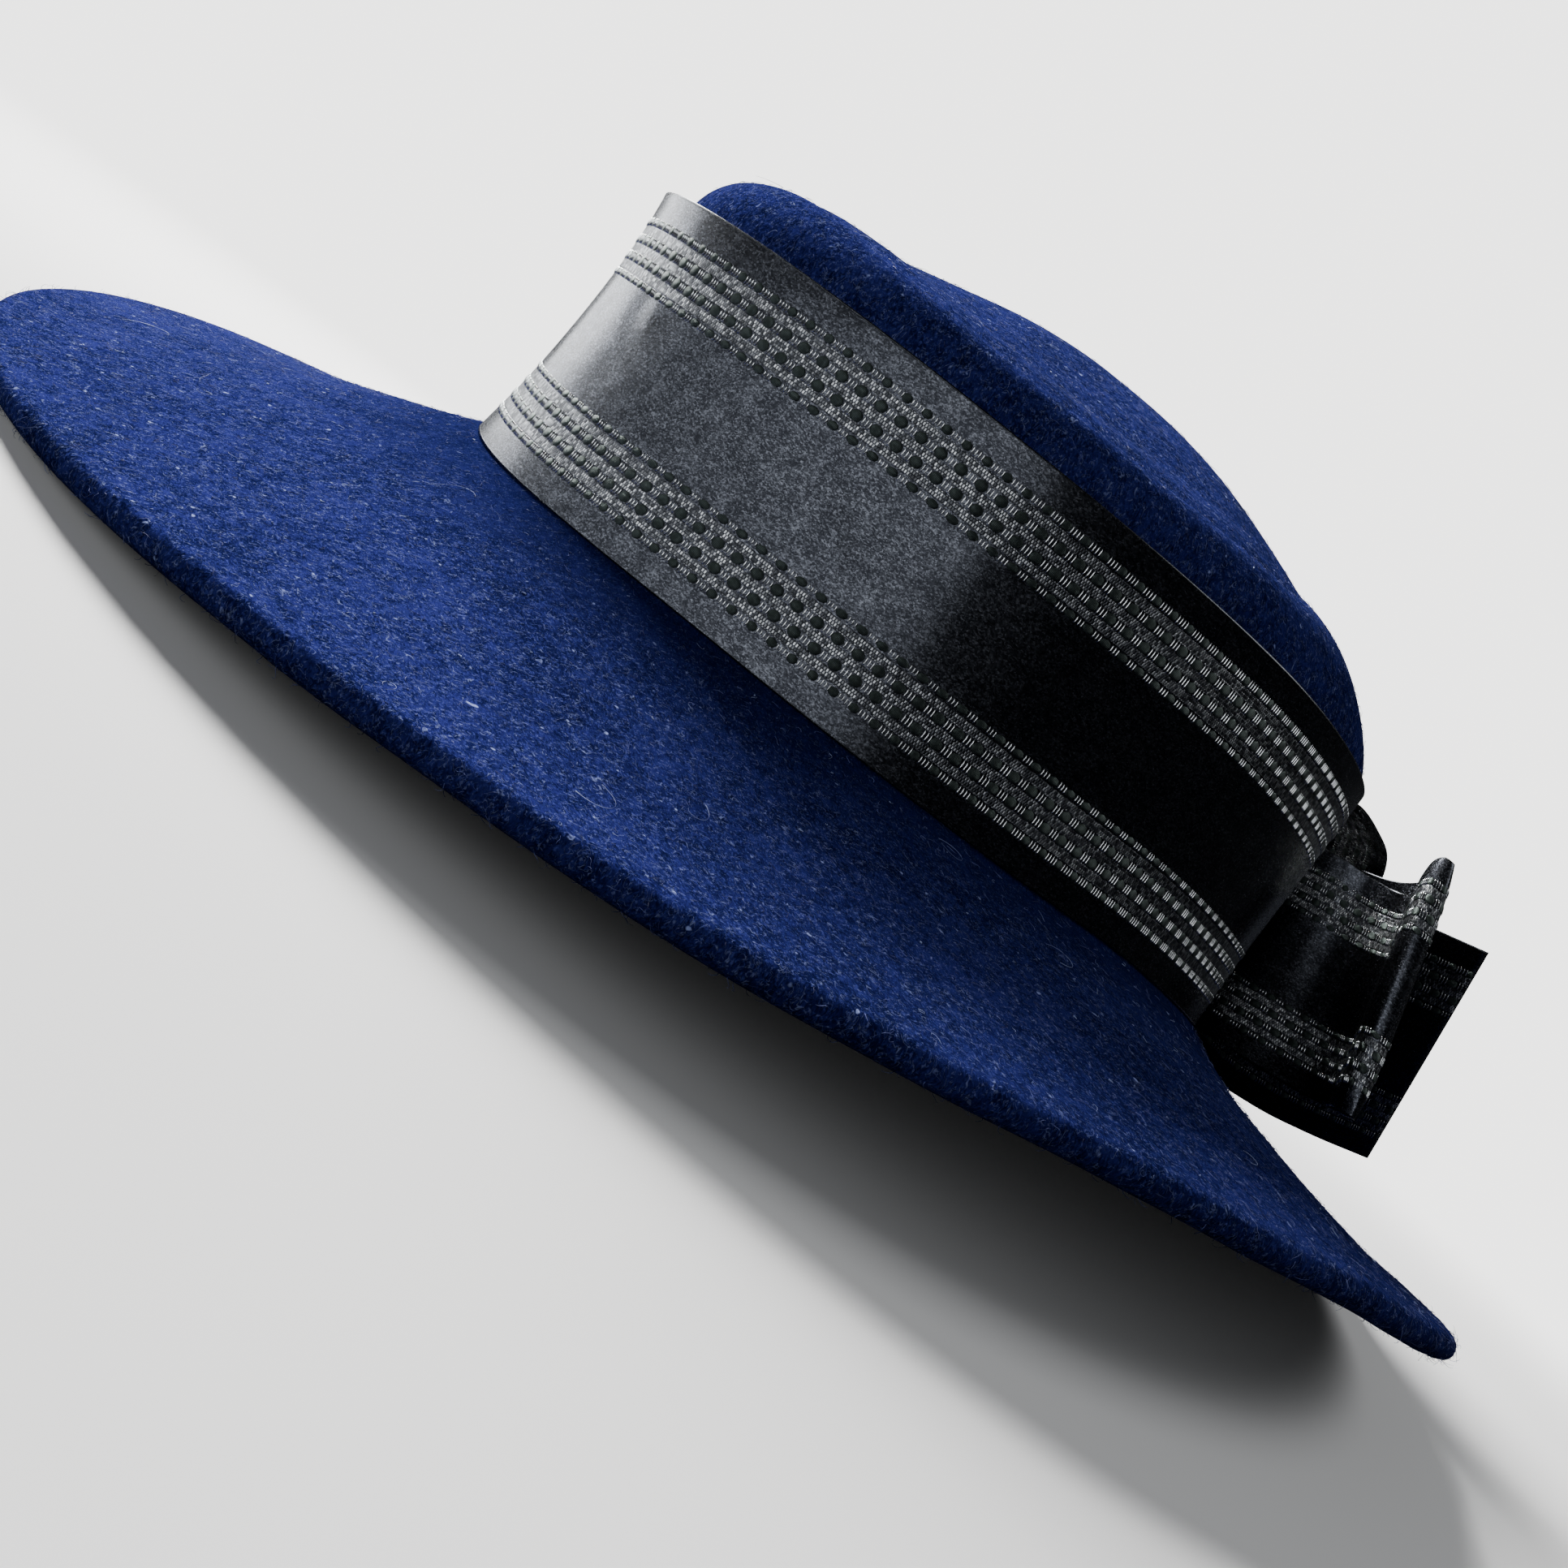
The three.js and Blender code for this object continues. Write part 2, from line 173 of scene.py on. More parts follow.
@dataclass(frozen=True)
class HatForm:
    """Surfaces of the blocked felt and of the band that lies on it, in millimetres."""

    felt: float = 2.4
    hem: float = 4.8
    break_radius: float = 2.0
    seat: float = 1.42
    band_length: float = 102.0
    band_breadth: float = 85.4
    taut_height: float = 8.0
    taut_slope: float = 0.14
    band_lift: float = 1.0
    band_taper: float = 6.0
    flare: float = 1.6
    flare_height: float = 7.0
    crown_top: float = 119.6
    crown_centre: float = -3.0
    dent_at: float = 0.66
    sections: Around = field(
        default_factory=lambda: Around(
            root=(32.2, 34.5, 35.1, 28.5, 23.6, 28.5, 35.1, 34.5),
            band_top=(88.3, 89.2, 90.6, 86.8, 83.9, 86.8, 90.6, 89.2),
            proud=(3, 0.6, 0, 0, 0, 0, 0, 0.6),
            reach=(74, 72, 75, 69, 67.5, 69, 72, 72),
            rim=(2, 12.6, 26.2, 15, 2, 9, 17, 8.5),
            hollow=(2, 2, 1, 5, 5.5, 5, 1, 2),
        )
    )
    crown: Around = field(
        default_factory=lambda: Around(
            edge_at=(0.87, 0.92, 0.82, 0.6, 0.6, 0.6, 0.82, 0.92),
            edge=(102, 98.6, 102.5, 109.8, 109, 109.8, 102.5, 98.6),
            square=(2, 2, 1.8, 1.35, 1.35, 1.35, 1.8, 2),
            dent=(3.8, 4.6, 1, 0, 0, 0, 1, 4.6),
        )
    )

    def oval(self, angle: np.ndarray, out: np.ndarray, height: np.ndarray) -> np.ndarray:
        """Points a level distance out from the band's lower edge, square to that oval.

        Args:
            angle: directions from the forehead, in radians.
            out: distances out from the oval.
            height: heights above the floor.

        Returns:
            One point for each direction.
        """
        square_x = self.band_length * np.sin(angle)
        square_y = -self.band_breadth * np.cos(angle)
        size = np.hypot(square_x, square_y)
        x = self.band_breadth * np.sin(angle) + out * square_x / size
        y = -self.band_length * np.cos(angle) + out * square_y / size
        return np.stack([x, y, np.broadcast_to(height, x.shape)], axis=-1)

    def outwards(self, angle: np.ndarray) -> np.ndarray:
        """Level directions 1 mm long, square to the band's oval."""
        return self.oval(angle, np.ones_like(angle), 0) - self.oval(angle, np.zeros_like(angle), 0)

    def inset(self, angle: np.ndarray, height: np.ndarray) -> np.ndarray:
        """How far inside the oval the felt of the crown's side stands.

        Args:
            angle: directions from the forehead, in radians.
            height: heights above the break between crown and brim.

        Returns:
            One distance for each direction.
        """
        tall = self.sections.read("band_top", angle) - self.sections.read("root", angle)
        spread = self.flare * (1 - np.exp(-height / self.flare_height))
        corner = np.maximum(0, self.break_radius - height)
        sweep = self.break_radius - np.sqrt(self.break_radius**2 - corner**2)
        return self.seat + (self.band_taper - self.flare) * height / tall + spread - sweep

    def side(self, angle: np.ndarray, height: float) -> np.ndarray:
        """Points of the crown's side at a height above the break."""
        root = self.sections.read("root", angle)
        return self.oval(angle, -self.inset(angle, np.full_like(angle, height)), root + height)

    def brim(self, angle: np.ndarray, share: float) -> np.ndarray:
        """Points of the brim's upper face.

        Args:
            angle: directions from the forehead, in radians.
            share: 0 at the break with the crown and 1 at the edge.

        Returns:
            One point for each direction.
        """
        root = self.sections.read("root", angle)
        rim = self.sections.read("rim", angle) + self.hem / 2
        start = self.break_radius - self.seat
        out = start + (self.sections.read("reach", angle) - self.hem / 2 - start) * share
        dip = 4 * self.sections.read("hollow", angle) * share * (1 - share)
        return self.oval(angle, out, root + (rim - root) * share - dip)

    def top(self, angle: np.ndarray, share: float) -> np.ndarray:
        """Points of the crown above the ribbon.

        Args:
            angle: directions from the forehead, in radians.
            share: 1 at the ribbon's upper edge and 0 at the top.

        Returns:
            One point for each direction.
        """
        start = self.sections.read("band_top", angle)
        tall = start - self.sections.read("root", angle)
        rim = self.oval(angle, -self.inset(angle, tall), start)
        at, edge = self.crown.read("edge_at", angle), self.crown.read("edge", angle)
        square = self.crown.read("square", angle)
        past = np.clip((share - at) / (1 - at), 0, 1)
        shoulder = start + (edge - start) * (1 - past**square) ** (1 / square)
        spread = np.where(share < self.dent_at, share / self.dent_at, (at - share) / (at - self.dent_at))
        dent = self.crown.read("dent", angle) * np.sin(math.pi / 2 * np.clip(spread, 0, 1)) ** 2
        dome = self.crown_top - (self.crown_top - edge) * (share / at) ** 2 - dent
        centre = np.array([0, self.crown_centre, 0])
        points = centre + (rim - centre) * share
        points[..., 2] = np.where(share > at, shoulder, dome)
        return points

    def band(self, angle: np.ndarray, share: np.ndarray, off: float) -> np.ndarray:
        """Points of the band.

        Args:
            angle: directions from the forehead, in radians.
            share: 0 at the ribbon's lower edge and 1 at its upper edge.
            off: how far the points stand off the felt.

        Returns:
            One point for each direction.
        """
        root = self.sections.read("root", angle)
        tall = self.sections.read("band_top", angle) - root
        height = self.band_lift + (tall - self.band_lift) * share
        proud = self.sections.read("proud", angle) * share**2
        taut = np.maximum(0, self.taut_height - height) * self.taut_slope
        inset = self.inset(angle, np.maximum(height, self.taut_height)) - taut
        return self.oval(angle, off + proud - inset, root + height)


def frame_shift() -> Vector:
    """Where the middle of the band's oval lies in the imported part, on the floor, in metres."""
    low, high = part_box("hat_band")
    middle = (low + high) / 2
    return Vector((middle.x, middle.y, 0))


SHIFT = frame_shift()


def to_frame(points: np.ndarray) -> np.ndarray:
    """Turns millimetres about the band's middle into metres in the part's frame."""
    return points * MM + np.array(SHIFT)


# ------------------------------------------------------------------ meshes


def grid_of(points: np.ndarray, name: str) -> bmesh.types.BMesh:
    """A sheet of faces through a grid of points, with a UV map that runs from 0 to 1 both ways.

    Args:
        points: the points, as rows by columns by 3.
        name: name of the UV map.

    Returns:
        The sheet.
    """
    rows, columns = points.shape[:2]
    sheet = bmesh.new()
    sheet.loops.layers.uv.new(name)
    bmesh.ops.create_grid(
        sheet, x_segments=columns - 1, y_segments=rows - 1, size=0.5, calc_uvs=True
    )
    for vert in sheet.verts:
        column = round((vert.co.x + 0.5) * (columns - 1))
        row = round((vert.co.y + 0.5) * (rows - 1))
        vert.co = points[row, column]
    return sheet


def new_object(name: str, data: bpy.types.ID) -> bpy.types.Object:
    """Puts a mesh, a light or a camera in the scene."""
    thing = bpy.data.objects.new(name, data)
    bpy.context.scene.collection.objects.link(thing)
    return thing


def finish_piece(
    shape: bmesh.types.BMesh | bpy.types.Mesh, name: str, material: bpy.types.Material
) -> bpy.types.Object:
    """Makes a piece of the hat from a finished shape.

    Args:
        shape: the shape, already in the part's frame.
        name: name of the piece.
        material: its finish.

    Returns:
        The piece, smooth-shaded and riding on the hat.
    """
    mesh = shape
    if isinstance(shape, bmesh.types.BMesh):
        mesh = bpy.data.meshes.new(name)
        shape.to_mesh(mesh)
        shape.free()
    mesh.name = name
    mesh.materials.clear()
    mesh.materials.append(material)
    mesh.shade_smooth()
    piece = new_object(name, mesh)
    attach(piece, "root")
    LOG.info("%s: %d points", name, len(mesh.vertices))
    return piece


def many(shape: bmesh.types.BMesh, count: int, name: str) -> tuple[bpy.types.Mesh, np.ndarray]:
    """One mesh that holds a small shape many times.

    Args:
        shape: the small shape, which is used up.
        count: how many copies there are.
        name: name of the mesh.

    Returns:
        The mesh, and the small shape's points, which each copy holds in the same order.
    """
    seed = bpy.data.meshes.new(name + "_seed")
    shape.to_mesh(seed)
    shape.free()
    points = np.zeros(len(seed.vertices) * 3, np.float32)
    seed.vertices.foreach_get("co", points)
    holder = new_object(name + "_seed", seed)
    array = holder.modifiers.new("copies", "ARRAY")
    array.count = count
    evaluated = holder.evaluated_get(bpy.context.evaluated_depsgraph_get())
    mesh = bpy.data.meshes.new_from_object(evaluated)
    bpy.data.objects.remove(holder)
    bpy.data.meshes.remove(seed)
    return mesh, points.reshape(-1, 3).astype(float)


def put_points(mesh: bpy.types.Mesh, points: np.ndarray) -> None:
    """Moves a mesh's points to the given places, in metres."""
    mesh.vertices.foreach_set("co", np.ascontiguousarray(points, np.float32).ravel())
    mesh.update()


def put_uv(mesh: bpy.types.Mesh, name: str, flat: np.ndarray) -> None:
    """Gives every corner of a mesh a place on a flat cut.

    Args:
        mesh: the mesh.
        name: name of the UV map.
        flat: one place for each point of the mesh, in metres.
    """
    corners = np.zeros(len(mesh.loops), np.int32)
    mesh.loops.foreach_get("vertex_index", corners)
    layer = mesh.uv_layers.get(name) or mesh.uv_layers.new(name=name)
    layer.uv.foreach_set("vector", np.ascontiguousarray(flat[corners], np.float32).ravel())


def turn_over(mesh: bpy.types.Mesh, first: int) -> None:
    """Turns over a mesh's faces from a given point on, for copies that are mirrored.

    Args:
        mesh: the mesh.
        first: number of the first point of those faces.
    """
    shape = bmesh.new()
    shape.from_mesh(mesh)
    bmesh.ops.reverse_faces(shape, faces=[f for f in shape.faces if f.verts[0].index >= first])
    shape.to_mesh(mesh)
    shape.free()


# ------------------------------------------------------------------ shader writing


class Wire:
    """A value in a material that Python's operators work on."""

    def __init__(self, paint: "Paint", socket: bpy.types.NodeSocket) -> None:
        """Wraps an output socket of a paint's nodes."""
        self.paint = paint
        self.socket = socket

    def _with(self, operation: str, other: "Wire | float", swapped: bool = False) -> "Wire":
        """Adds a Math node.

        Args:
            operation: what the node does.
            other: the second value.
            swapped: whether the second value comes first.

        Returns:
            The node's result.
        """
        values = {0: other, 1: self} if swapped else {0: self, 1: other}
        return self.paint.add("ShaderNodeMath", {"operation": operation}, values)

    def __add__(self, other: "Wire | float") -> "Wire":
        """Sum."""
        return self._with("ADD", other)

    def __radd__(self, other: "Wire | float") -> "Wire":
        """Sum."""
        return self._with("ADD", other, True)

    def __sub__(self, other: "Wire | float") -> "Wire":
        """Difference."""
        return self._with("SUBTRACT", other)

    def __rsub__(self, other: "Wire | float") -> "Wire":
        """Difference from a number."""
        return self._with("SUBTRACT", other, True)

    def __mul__(self, other: "Wire | float") -> "Wire":
        """Product."""
        return self._with("MULTIPLY", other)

    def __rmul__(self, other: "Wire | float") -> "Wire":
        """Product."""
        return self._with("MULTIPLY", other, True)

    def __truediv__(self, other: "Wire | float") -> "Wire":
        """Quotient."""
        return self._with("DIVIDE", other)

    def __rtruediv__(self, other: "Wire | float") -> "Wire":
        """A number shared by this value."""
        return self._with("DIVIDE", other, True)

    def most(self, other: "Wire | float") -> "Wire":
        """The larger of two values."""
        return self._with("MAXIMUM", other)

    def size(self) -> "Wire":
        """The value without its sign."""
        return self.paint.add("ShaderNodeMath", {"operation": "ABSOLUTE"}, {0: self})

    def part(self) -> "Wire":
        """The part after the decimal point."""
        return self.paint.add("ShaderNodeMath", {"operation": "FRACT"}, {0: self})

    def rounded_down(self) -> "Wire":
        """The whole part."""
        return self.paint.add("ShaderNodeMath", {"operation": "FLOOR"}, {0: self})

    def rise(self, low: float, high: float) -> "Wire":
        """A soft step.

        Args:
            low: the value at which the step is 0.
            high: the value at which it is 1.

        Returns:
            The step.
        """
        settings = {"interpolation_type": "SMOOTHSTEP"}
        return self.paint.add("ShaderNodeMapRange", settings, {0: self, 1: low, 2: high})

    def within(self, low: float, high: float, soft: float) -> "Wire":
        """1 between two values and 0 outside them.

        Args:
            low: lower end.
            high: upper end.
            soft: width of the soft change at each end.

        Returns:
            The mask.
        """
        return self.rise(low - soft / 2, low + soft / 2) * (1 - self.rise(high - soft / 2, high + soft / 2))


class Paint:
    """Writes the nodes of one material, or of the room's world."""

    def __init__(self, name: str, world: bool = False) -> None:
        """Starts without nodes.

        Args:
            name: name of the material or the world.
            world: whether it is the world.
        """
        self.output = "ShaderNodeOutputWorld" if world else "ShaderNodeOutputMaterial"
        self.owner = bpy.data.worlds.new(name) if world else bpy.data.materials.new(name)
        self.owner.use_nodes = True
        self.tree = self.owner.node_tree
        self.tree.nodes.clear()

    def add(
        self,
        kind: str,
        settings: dict[str, object] | None = None,
        inputs: dict[str | int, object] | None = None,
        output: str | int | None = 0,
    ) -> Wire | None:
        """Adds a node.

        Args:
            kind: the node's type.
            settings: its settings, with a ramp's stops under "stops".
            inputs: values or wires for its sockets.
            output: which of its outputs is wanted, or None at the end of the nodes.

        Returns:
            That output.
        """
        node = self.tree.nodes.new(kind)
        for name, value in (settings or {}).items():
            if name == "stops":
                self._put_stops(node.color_ramp, value)
            else:
                setattr(node, name, value)
        for name, value in (inputs or {}).items():
            if isinstance(value, Wire):
                self.tree.links.new(value.socket, node.inputs[name])
            else:
                node.inputs[name].default_value = value
        return None if output is None else Wire(self, node.outputs[output])

    @staticmethod
    def _put_stops(ramp: bpy.types.ColorRamp, stops: list[tuple[float, Colour]]) -> None:
        """Puts a ramp's stops in place.

        Args:
            ramp: the ramp.
            stops: each stop's place and colour.
        """
        while len(ramp.elements) < len(stops):
            ramp.elements.new(1.0)
        for element, (place, colour) in zip(ramp.elements, stops):
            element.position = place
            element.color = (*colour, 1.0)

    def noise(self, at: Wire, scale: float, detail: float = 2.0, distortion: float = 0.0) -> Wire:
        """A cloudy value from 0 to 1.

        Args:
            at: where the noise is read.
            scale: how many clouds there are in a metre.
            detail: how many finer layers are added.
            distortion: how much the clouds are bent.

        Returns:
            The value.
        """
        inputs = {"Vector": at, "Scale": scale, "Detail": detail, "Distortion": distortion}
        return self.add("ShaderNodeTexNoise", None, inputs)

    def patches(self, at: Wire, scale: float) -> Wire:
        """A value from 0 to 1 that changes from one tiny patch to the next.

        Args:
            at: where the patches are read.
            scale: how many patches there are in a metre.

        Returns:
            The value.
        """
        cell = self.add("ShaderNodeTexVoronoi", None, {"Vector": at, "Scale": scale}, "Color")
        return self.add("ShaderNodeSeparateColor", None, {0: cell}, 0)

    def flat_ribbon(self) -> tuple[Wire, Wire, Wire]:
        """The place on the flat ribbon, and how far that is along and across it, in metres."""
        uv = self.add("ShaderNodeUVMap", {"uv_map": "flat"})
        along = self.add("ShaderNodeSeparateXYZ", None, {0: uv})
        return uv, along, Wire(self, along.socket.node.outputs["Y"])

    def chance(self, first: Wire, second: Wire) -> Wire:
        """A random value from 0 to 1 for each pair of whole numbers."""
        pair = self.add("ShaderNodeCombineXYZ", None, {0: first, 1: second})
        return self.add("ShaderNodeTexWhiteNoise", {"noise_dimensions": "2D"}, {"Vector": pair}, 0)

    def placed(self, at: Wire, turn: Colour = (0, 0, 0), scale: Colour = (1, 1, 1)) -> Wire:
        """Coordinates turned, in radians, and stretched.

        Args:
            at: the coordinates.
            turn: angles about the three axes.
            scale: stretch along the three axes.

        Returns:
            The new coordinates.
        """
        return self.add("ShaderNodeMapping", None, {"Vector": at, "Rotation": turn, "Scale": scale})

    def blend(self, share: Wire, first: Wire | Colour, second: Wire | Colour) -> Wire:
        """A mix of two colours.

        Args:
            share: 0 for the first and 1 for the second.
            first: first colour.
            second: second colour.

        Returns:
            The mixed colour.
        """
        values = [c if isinstance(c, Wire) else (*c, 1.0) for c in (first, second)]
        return self.add(
            "ShaderNodeMix", {"data_type": "RGBA"}, {0: share, 6: values[0], 7: values[1]}, 2
        )

    def bump(self, height: Wire, depth: float, strength: float = 1.0) -> Wire:
        """A normal that follows a height.

        Args:
            height: the height, from 0 to 1.
            depth: what a height of 1 means, in metres.
            strength: how much of it shows.

        Returns:
            The normal.
        """
        inputs = {"Height": height, "Distance": depth, "Strength": strength}
        return self.add("ShaderNodeBump", None, inputs)

    def surface(self, constants: dict[str, object], varying: dict[str, Wire]) -> bpy.types.Material:
        """Closes the material with one Principled shader.

        Args:
            constants: values that are the same all over the surface.
            varying: wires for what changes over it.

        Returns:
            The material.
        """
        return self.close(self.add("ShaderNodeBsdfPrincipled", None, {**constants, **varying}))

    def close(self, shader: Wire) -> bpy.types.Material | bpy.types.World:
        """Ends the nodes with a shader and returns what they belong to."""
        self.add(self.output, None, {"Surface": shader}, None)
        return self.owner


# ------------------------------------------------------------------ finishes


@dataclass(frozen=True)
class BrushedFelt:
    """Royal blue wool felt: matted fibres, paler where their ends catch the light, with painted shade on the
    brim beside the band.
    """

    form: HatForm
    deep: Colour = (0.0030, 0.0042, 0.0310)
    body: Colour = (0.0180, 0.0212, 0.1320)
    pale: Colour = (0.0980, 0.1260, 0.3900)
    fleck: Colour = (0.300, 0.365, 0.700)
    relief: float = 0.0005
    # Strength and reach of the painted shade on the brim beside the band; none is painted above crown_from,
    # on the crown.
    band_shade_strength: float = 0.65
    band_shade_reach: float = 1.32
    crown_from: tuple[float, float] = (0.050, 0.060)

    def curls(self, paint: Paint, at: Wire, scale: float, width: float) -> Wire:
        """Thin curling lines, as of fibres that lie on the surface.

        Args:
            paint: the material.
            at: coordinates.
            scale: how tightly they lie.
            width: their breadth, as a share of the pattern.

        Returns:
            1 on a line and 0 between lines.
        """
        line = (paint.noise(at, scale, 1.0, 1.2) - 0.5).size()
        return 1 - line.rise(0.0, width)

    def painted_band_shade(self, paint: Paint, at: Wire) -> Wire:
        """Painted shade on the brim along the band, standing in for the shadow that the band and crown cast
        there.

        Args:
            paint: the material.
            at: coordinates.

        Returns:
            1 at the band and 0 further out and on the crown.
        """
        shares = (1 / (self.form.band_breadth * MM), 1 / (self.form.band_length * MM), 0)
        start = tuple(-middle * share for middle, share in zip(SHIFT, shares))
        oval = paint.add(
            "ShaderNodeVectorMath", {"operation": "MULTIPLY_ADD"}, {0: at, 1: shares, 2: start}
        )
        out = paint.add("ShaderNodeVectorMath", {"operation": "LENGTH"}, {0: oval}, "Value")
        height = paint.add("ShaderNodeSeparateXYZ", None, {0: at}, "Z")
        return (1 - out.rise(1.0, self.band_shade_reach)) * (1 - height.rise(*self.crown_from))

    def make(self) -> bpy.types.Material:
        """Writes the material."""
        paint = Paint("felt_wool")
        at = paint.add("ShaderNodeTexCoord", None, None, "Object")
        across = paint.placed(at, (0.3, 0.5, 0.9), (1, 2.2, 1))
        along = paint.placed(at, (-0.6, 0.2, -0.7), (2.2, 1, 1))
        cloud = paint.noise(at, 55, 3.0)
        nap = paint.noise(at, 420, 4.0, 0.4)
        grain = paint.noise(across, 1500, 3.0, 0.8)
        long_curls = self.curls(paint, across, 300, 0.022) * paint.noise(at, 700, 1.0).rise(0.50, 0.62)
        short_curls = self.curls(paint, along, 640, 0.038) * paint.noise(along, 1100, 1.0).rise(0.47, 0.58)
        tone = cloud * 0.25 + nap * 0.45 + grain * 0.65 - 0.18
        ground = paint.blend(tone.rise(0.34, 0.66), self.deep, self.body)
        napped = paint.blend(short_curls * 0.50 + grain.rise(0.57, 0.72) * 0.30, ground, self.pale)
        tiny_curls = self.curls(paint, at, 980, 0.055) * paint.noise(along, 820, 1.0).rise(0.54, 0.62)
        specks = paint.noise(at, 700, 0.0).rise(0.82, 0.88)
        threads = (long_curls * 0.45).most(tiny_curls * 0.26)
        brushed = paint.blend(threads.most(specks * 0.8), napped, self.fleck)
        # Painted shade: the felt is blended towards deep beside the band, standing in for the band's shadow
        # on the brim.
        colour = paint.blend(self.painted_band_shade(paint, at) * self.band_shade_strength, brushed, self.deep)
        height = nap * 0.5 + grain * 0.6 + short_curls * 0.5 + long_curls * 0.4
        constants = {
            "Roughness": 0.95,
            "Specular IOR Level": 0.0,
            "Sheen Weight": 0.012,
            "Sheen Roughness": 0.5,
            "Sheen Tint": (0.30, 0.40, 1.0, 1.0),
        }
        varying = {"Base Color": colour, "Normal": paint.bump(height, self.relief, 0.8)}
        return paint.surface(constants, varying)


@dataclass(frozen=True)
class LooseFibre:
    """A single wool fibre on the felt."""

    name: str
    root: Colour
    tip: Colour

    def make(self) -> bpy.types.Material:
        """Writes the material, which reads how pale each fibre is from the piece."""
        paint = Paint(self.name)
        pale = paint.add("ShaderNodeAttribute", {"attribute_name": "pale"}, None, "Fac")
        colour = paint.blend(pale, self.root, self.tip)
        return paint.surface({"Roughness": 0.7, "Specular IOR Level": 0.25}, {"Base Color": colour})


@dataclass(frozen=True)
class Stripes:
    """Layout of the woven stripes across the ribbon, in millimetres from either edge."""

    width: float = 57.0
    rows: tuple[float, ...] = (6.1, 9.7, 13.3, 16.9)
    slips: tuple[float, ...] = (0.10, 0.58, 0.04, 0.55)
    repeat: float = 4.0
    float_counts: tuple[int, ...] = (4, 3, 3, 3)
    float_pitch: float = 0.66
    float_breadth: float = 0.23
    float_lengths: tuple[float, ...] = (1.55, 1.85, 1.85, 1.35)
    float_height: float = 0.19
    float_bow: float = 0.16
    pad_lengths: tuple[float, ...] = (1.9, 2.4, 2.4, 2.3)
    pad_breadths: tuple[float, ...] = (1.7, 2.1, 2.1, 1.5)
    pad_height: float = 0.22
    mesh_inset: float = 0.95
    mesh_pitch: float = 0.50
    mesh_rows: float = 0.66
    selvedge: float = 0.40
    bead_pitch: float = 0.5


@dataclass(frozen=True)
class SatinRibbon:
    """Black satin ribbon with fine open stripes between the rows of floats."""

    stripes: Stripes
    ground: Colour = (0.0200, 0.0215, 0.0265)
    thread: Colour = (0.1750, 0.1850, 0.2150)
    light_thread: Colour = (0.780, 0.800, 0.820)
    dim_thread: Colour = (0.045, 0.048, 0.052)
    selvedge_thread: Colour = (0.055, 0.058, 0.060)

    def mesh_stripes(self, inward: Wire) -> Wire:
        """Where the fine open stripes lie.

        Args:
            inward: distance from the nearer edge, in millimetres.

        Returns:
            1 in a stripe and 0 elsewhere.
        """
        rows, inset = self.stripes.rows, self.stripes.mesh_inset
        masks = [inward.within(a + inset, b - inset, 0.15) for a, b in zip(rows, rows[1:])]
        return sum(masks[1:], masks[0])

    def make(self) -> bpy.types.Material:
        """Writes the material, on a UV map that holds the flat ribbon in metres."""
        layout = self.stripes
        paint = Paint("ribbon_satin")
        uv, along, across = paint.flat_ribbon()
        along, across = along * MM_PER_METRE, across * MM_PER_METRE
        inward = layout.width / 2 - (across - layout.width / 2).size()
        line = inward / layout.mesh_rows
        dash = along / layout.mesh_pitch + line.rounded_down() * 0.5
        dashes = dash.part().within(0.16, 0.74, 0.24) * line.part().within(0.04, 0.96, 0.2)
        lively = paint.chance(dash.rounded_down(), line.rounded_down())
        grain = paint.patches(paint.placed(uv, (0, 0, 0.35), (1, 1.5, 1)), 2300)
        fine = paint.patches(paint.placed(uv, (0, 0, -0.3), (1, 1.3, 1)), 3900)
        cloud = paint.noise(uv, 260, 2.0)
        slub = paint.noise(paint.placed(uv, (0, 0, 0), (1, 5, 1)), 90, 2.0)
        edge_bead = 1 - inward.rise(0.20, layout.selvedge)
        bead = (along / layout.bead_pitch).part().within(0.2, 0.8, 0.3)
        open_stripe = self.mesh_stripes(inward)
        pale = grain * fine * 0.60 + fine * 0.20 + (cloud - 0.5) * 0.45 + grain * 0.05
        cloth = paint.blend(pale.rise(0.0, 1.0), self.ground, self.thread)
        stroke = paint.blend(lively * lively, self.dim_thread, self.light_thread)
        meshed = paint.blend(open_stripe * dashes, cloth, stroke)
        colour = paint.blend(edge_bead * bead, meshed, self.selvedge_thread)
        height = fine * 0.30 + open_stripe * dashes * 0.9 + edge_bead * 0.4
        rough = 0.19 + slub * 0.06 + grain * 0.07 + open_stripe * 0.08
        constants = {"Specular IOR Level": 0.2}
        varying = {
            "Base Color": colour,
            "Metallic": 0.985 - open_stripe * 0.03,
            "Roughness": rough,
            "Normal": paint.bump(height, 0.00010, 0.6),
        }
        return paint.surface(constants, varying)


@dataclass(frozen=True)
class FloatThread:
    """Pale, bright thread of the small raised floats."""

    colour: Colour = (0.92, 0.94, 0.95)

    def make(self) -> bpy.types.Material:
        """Writes the material."""
        paint = Paint("float_thread")
        at = paint.add("ShaderNodeTexCoord", None, None, "Object")
        worn = paint.noise(at, 300, 2.0).rise(0.3, 0.7)
        dark = tuple(c * 0.6 for c in self.colour)
        colour = paint.blend(worn, dark, self.colour)
        return paint.surface({"Roughness": 0.20, "Metallic": 0.94}, {"Base Color": colour})


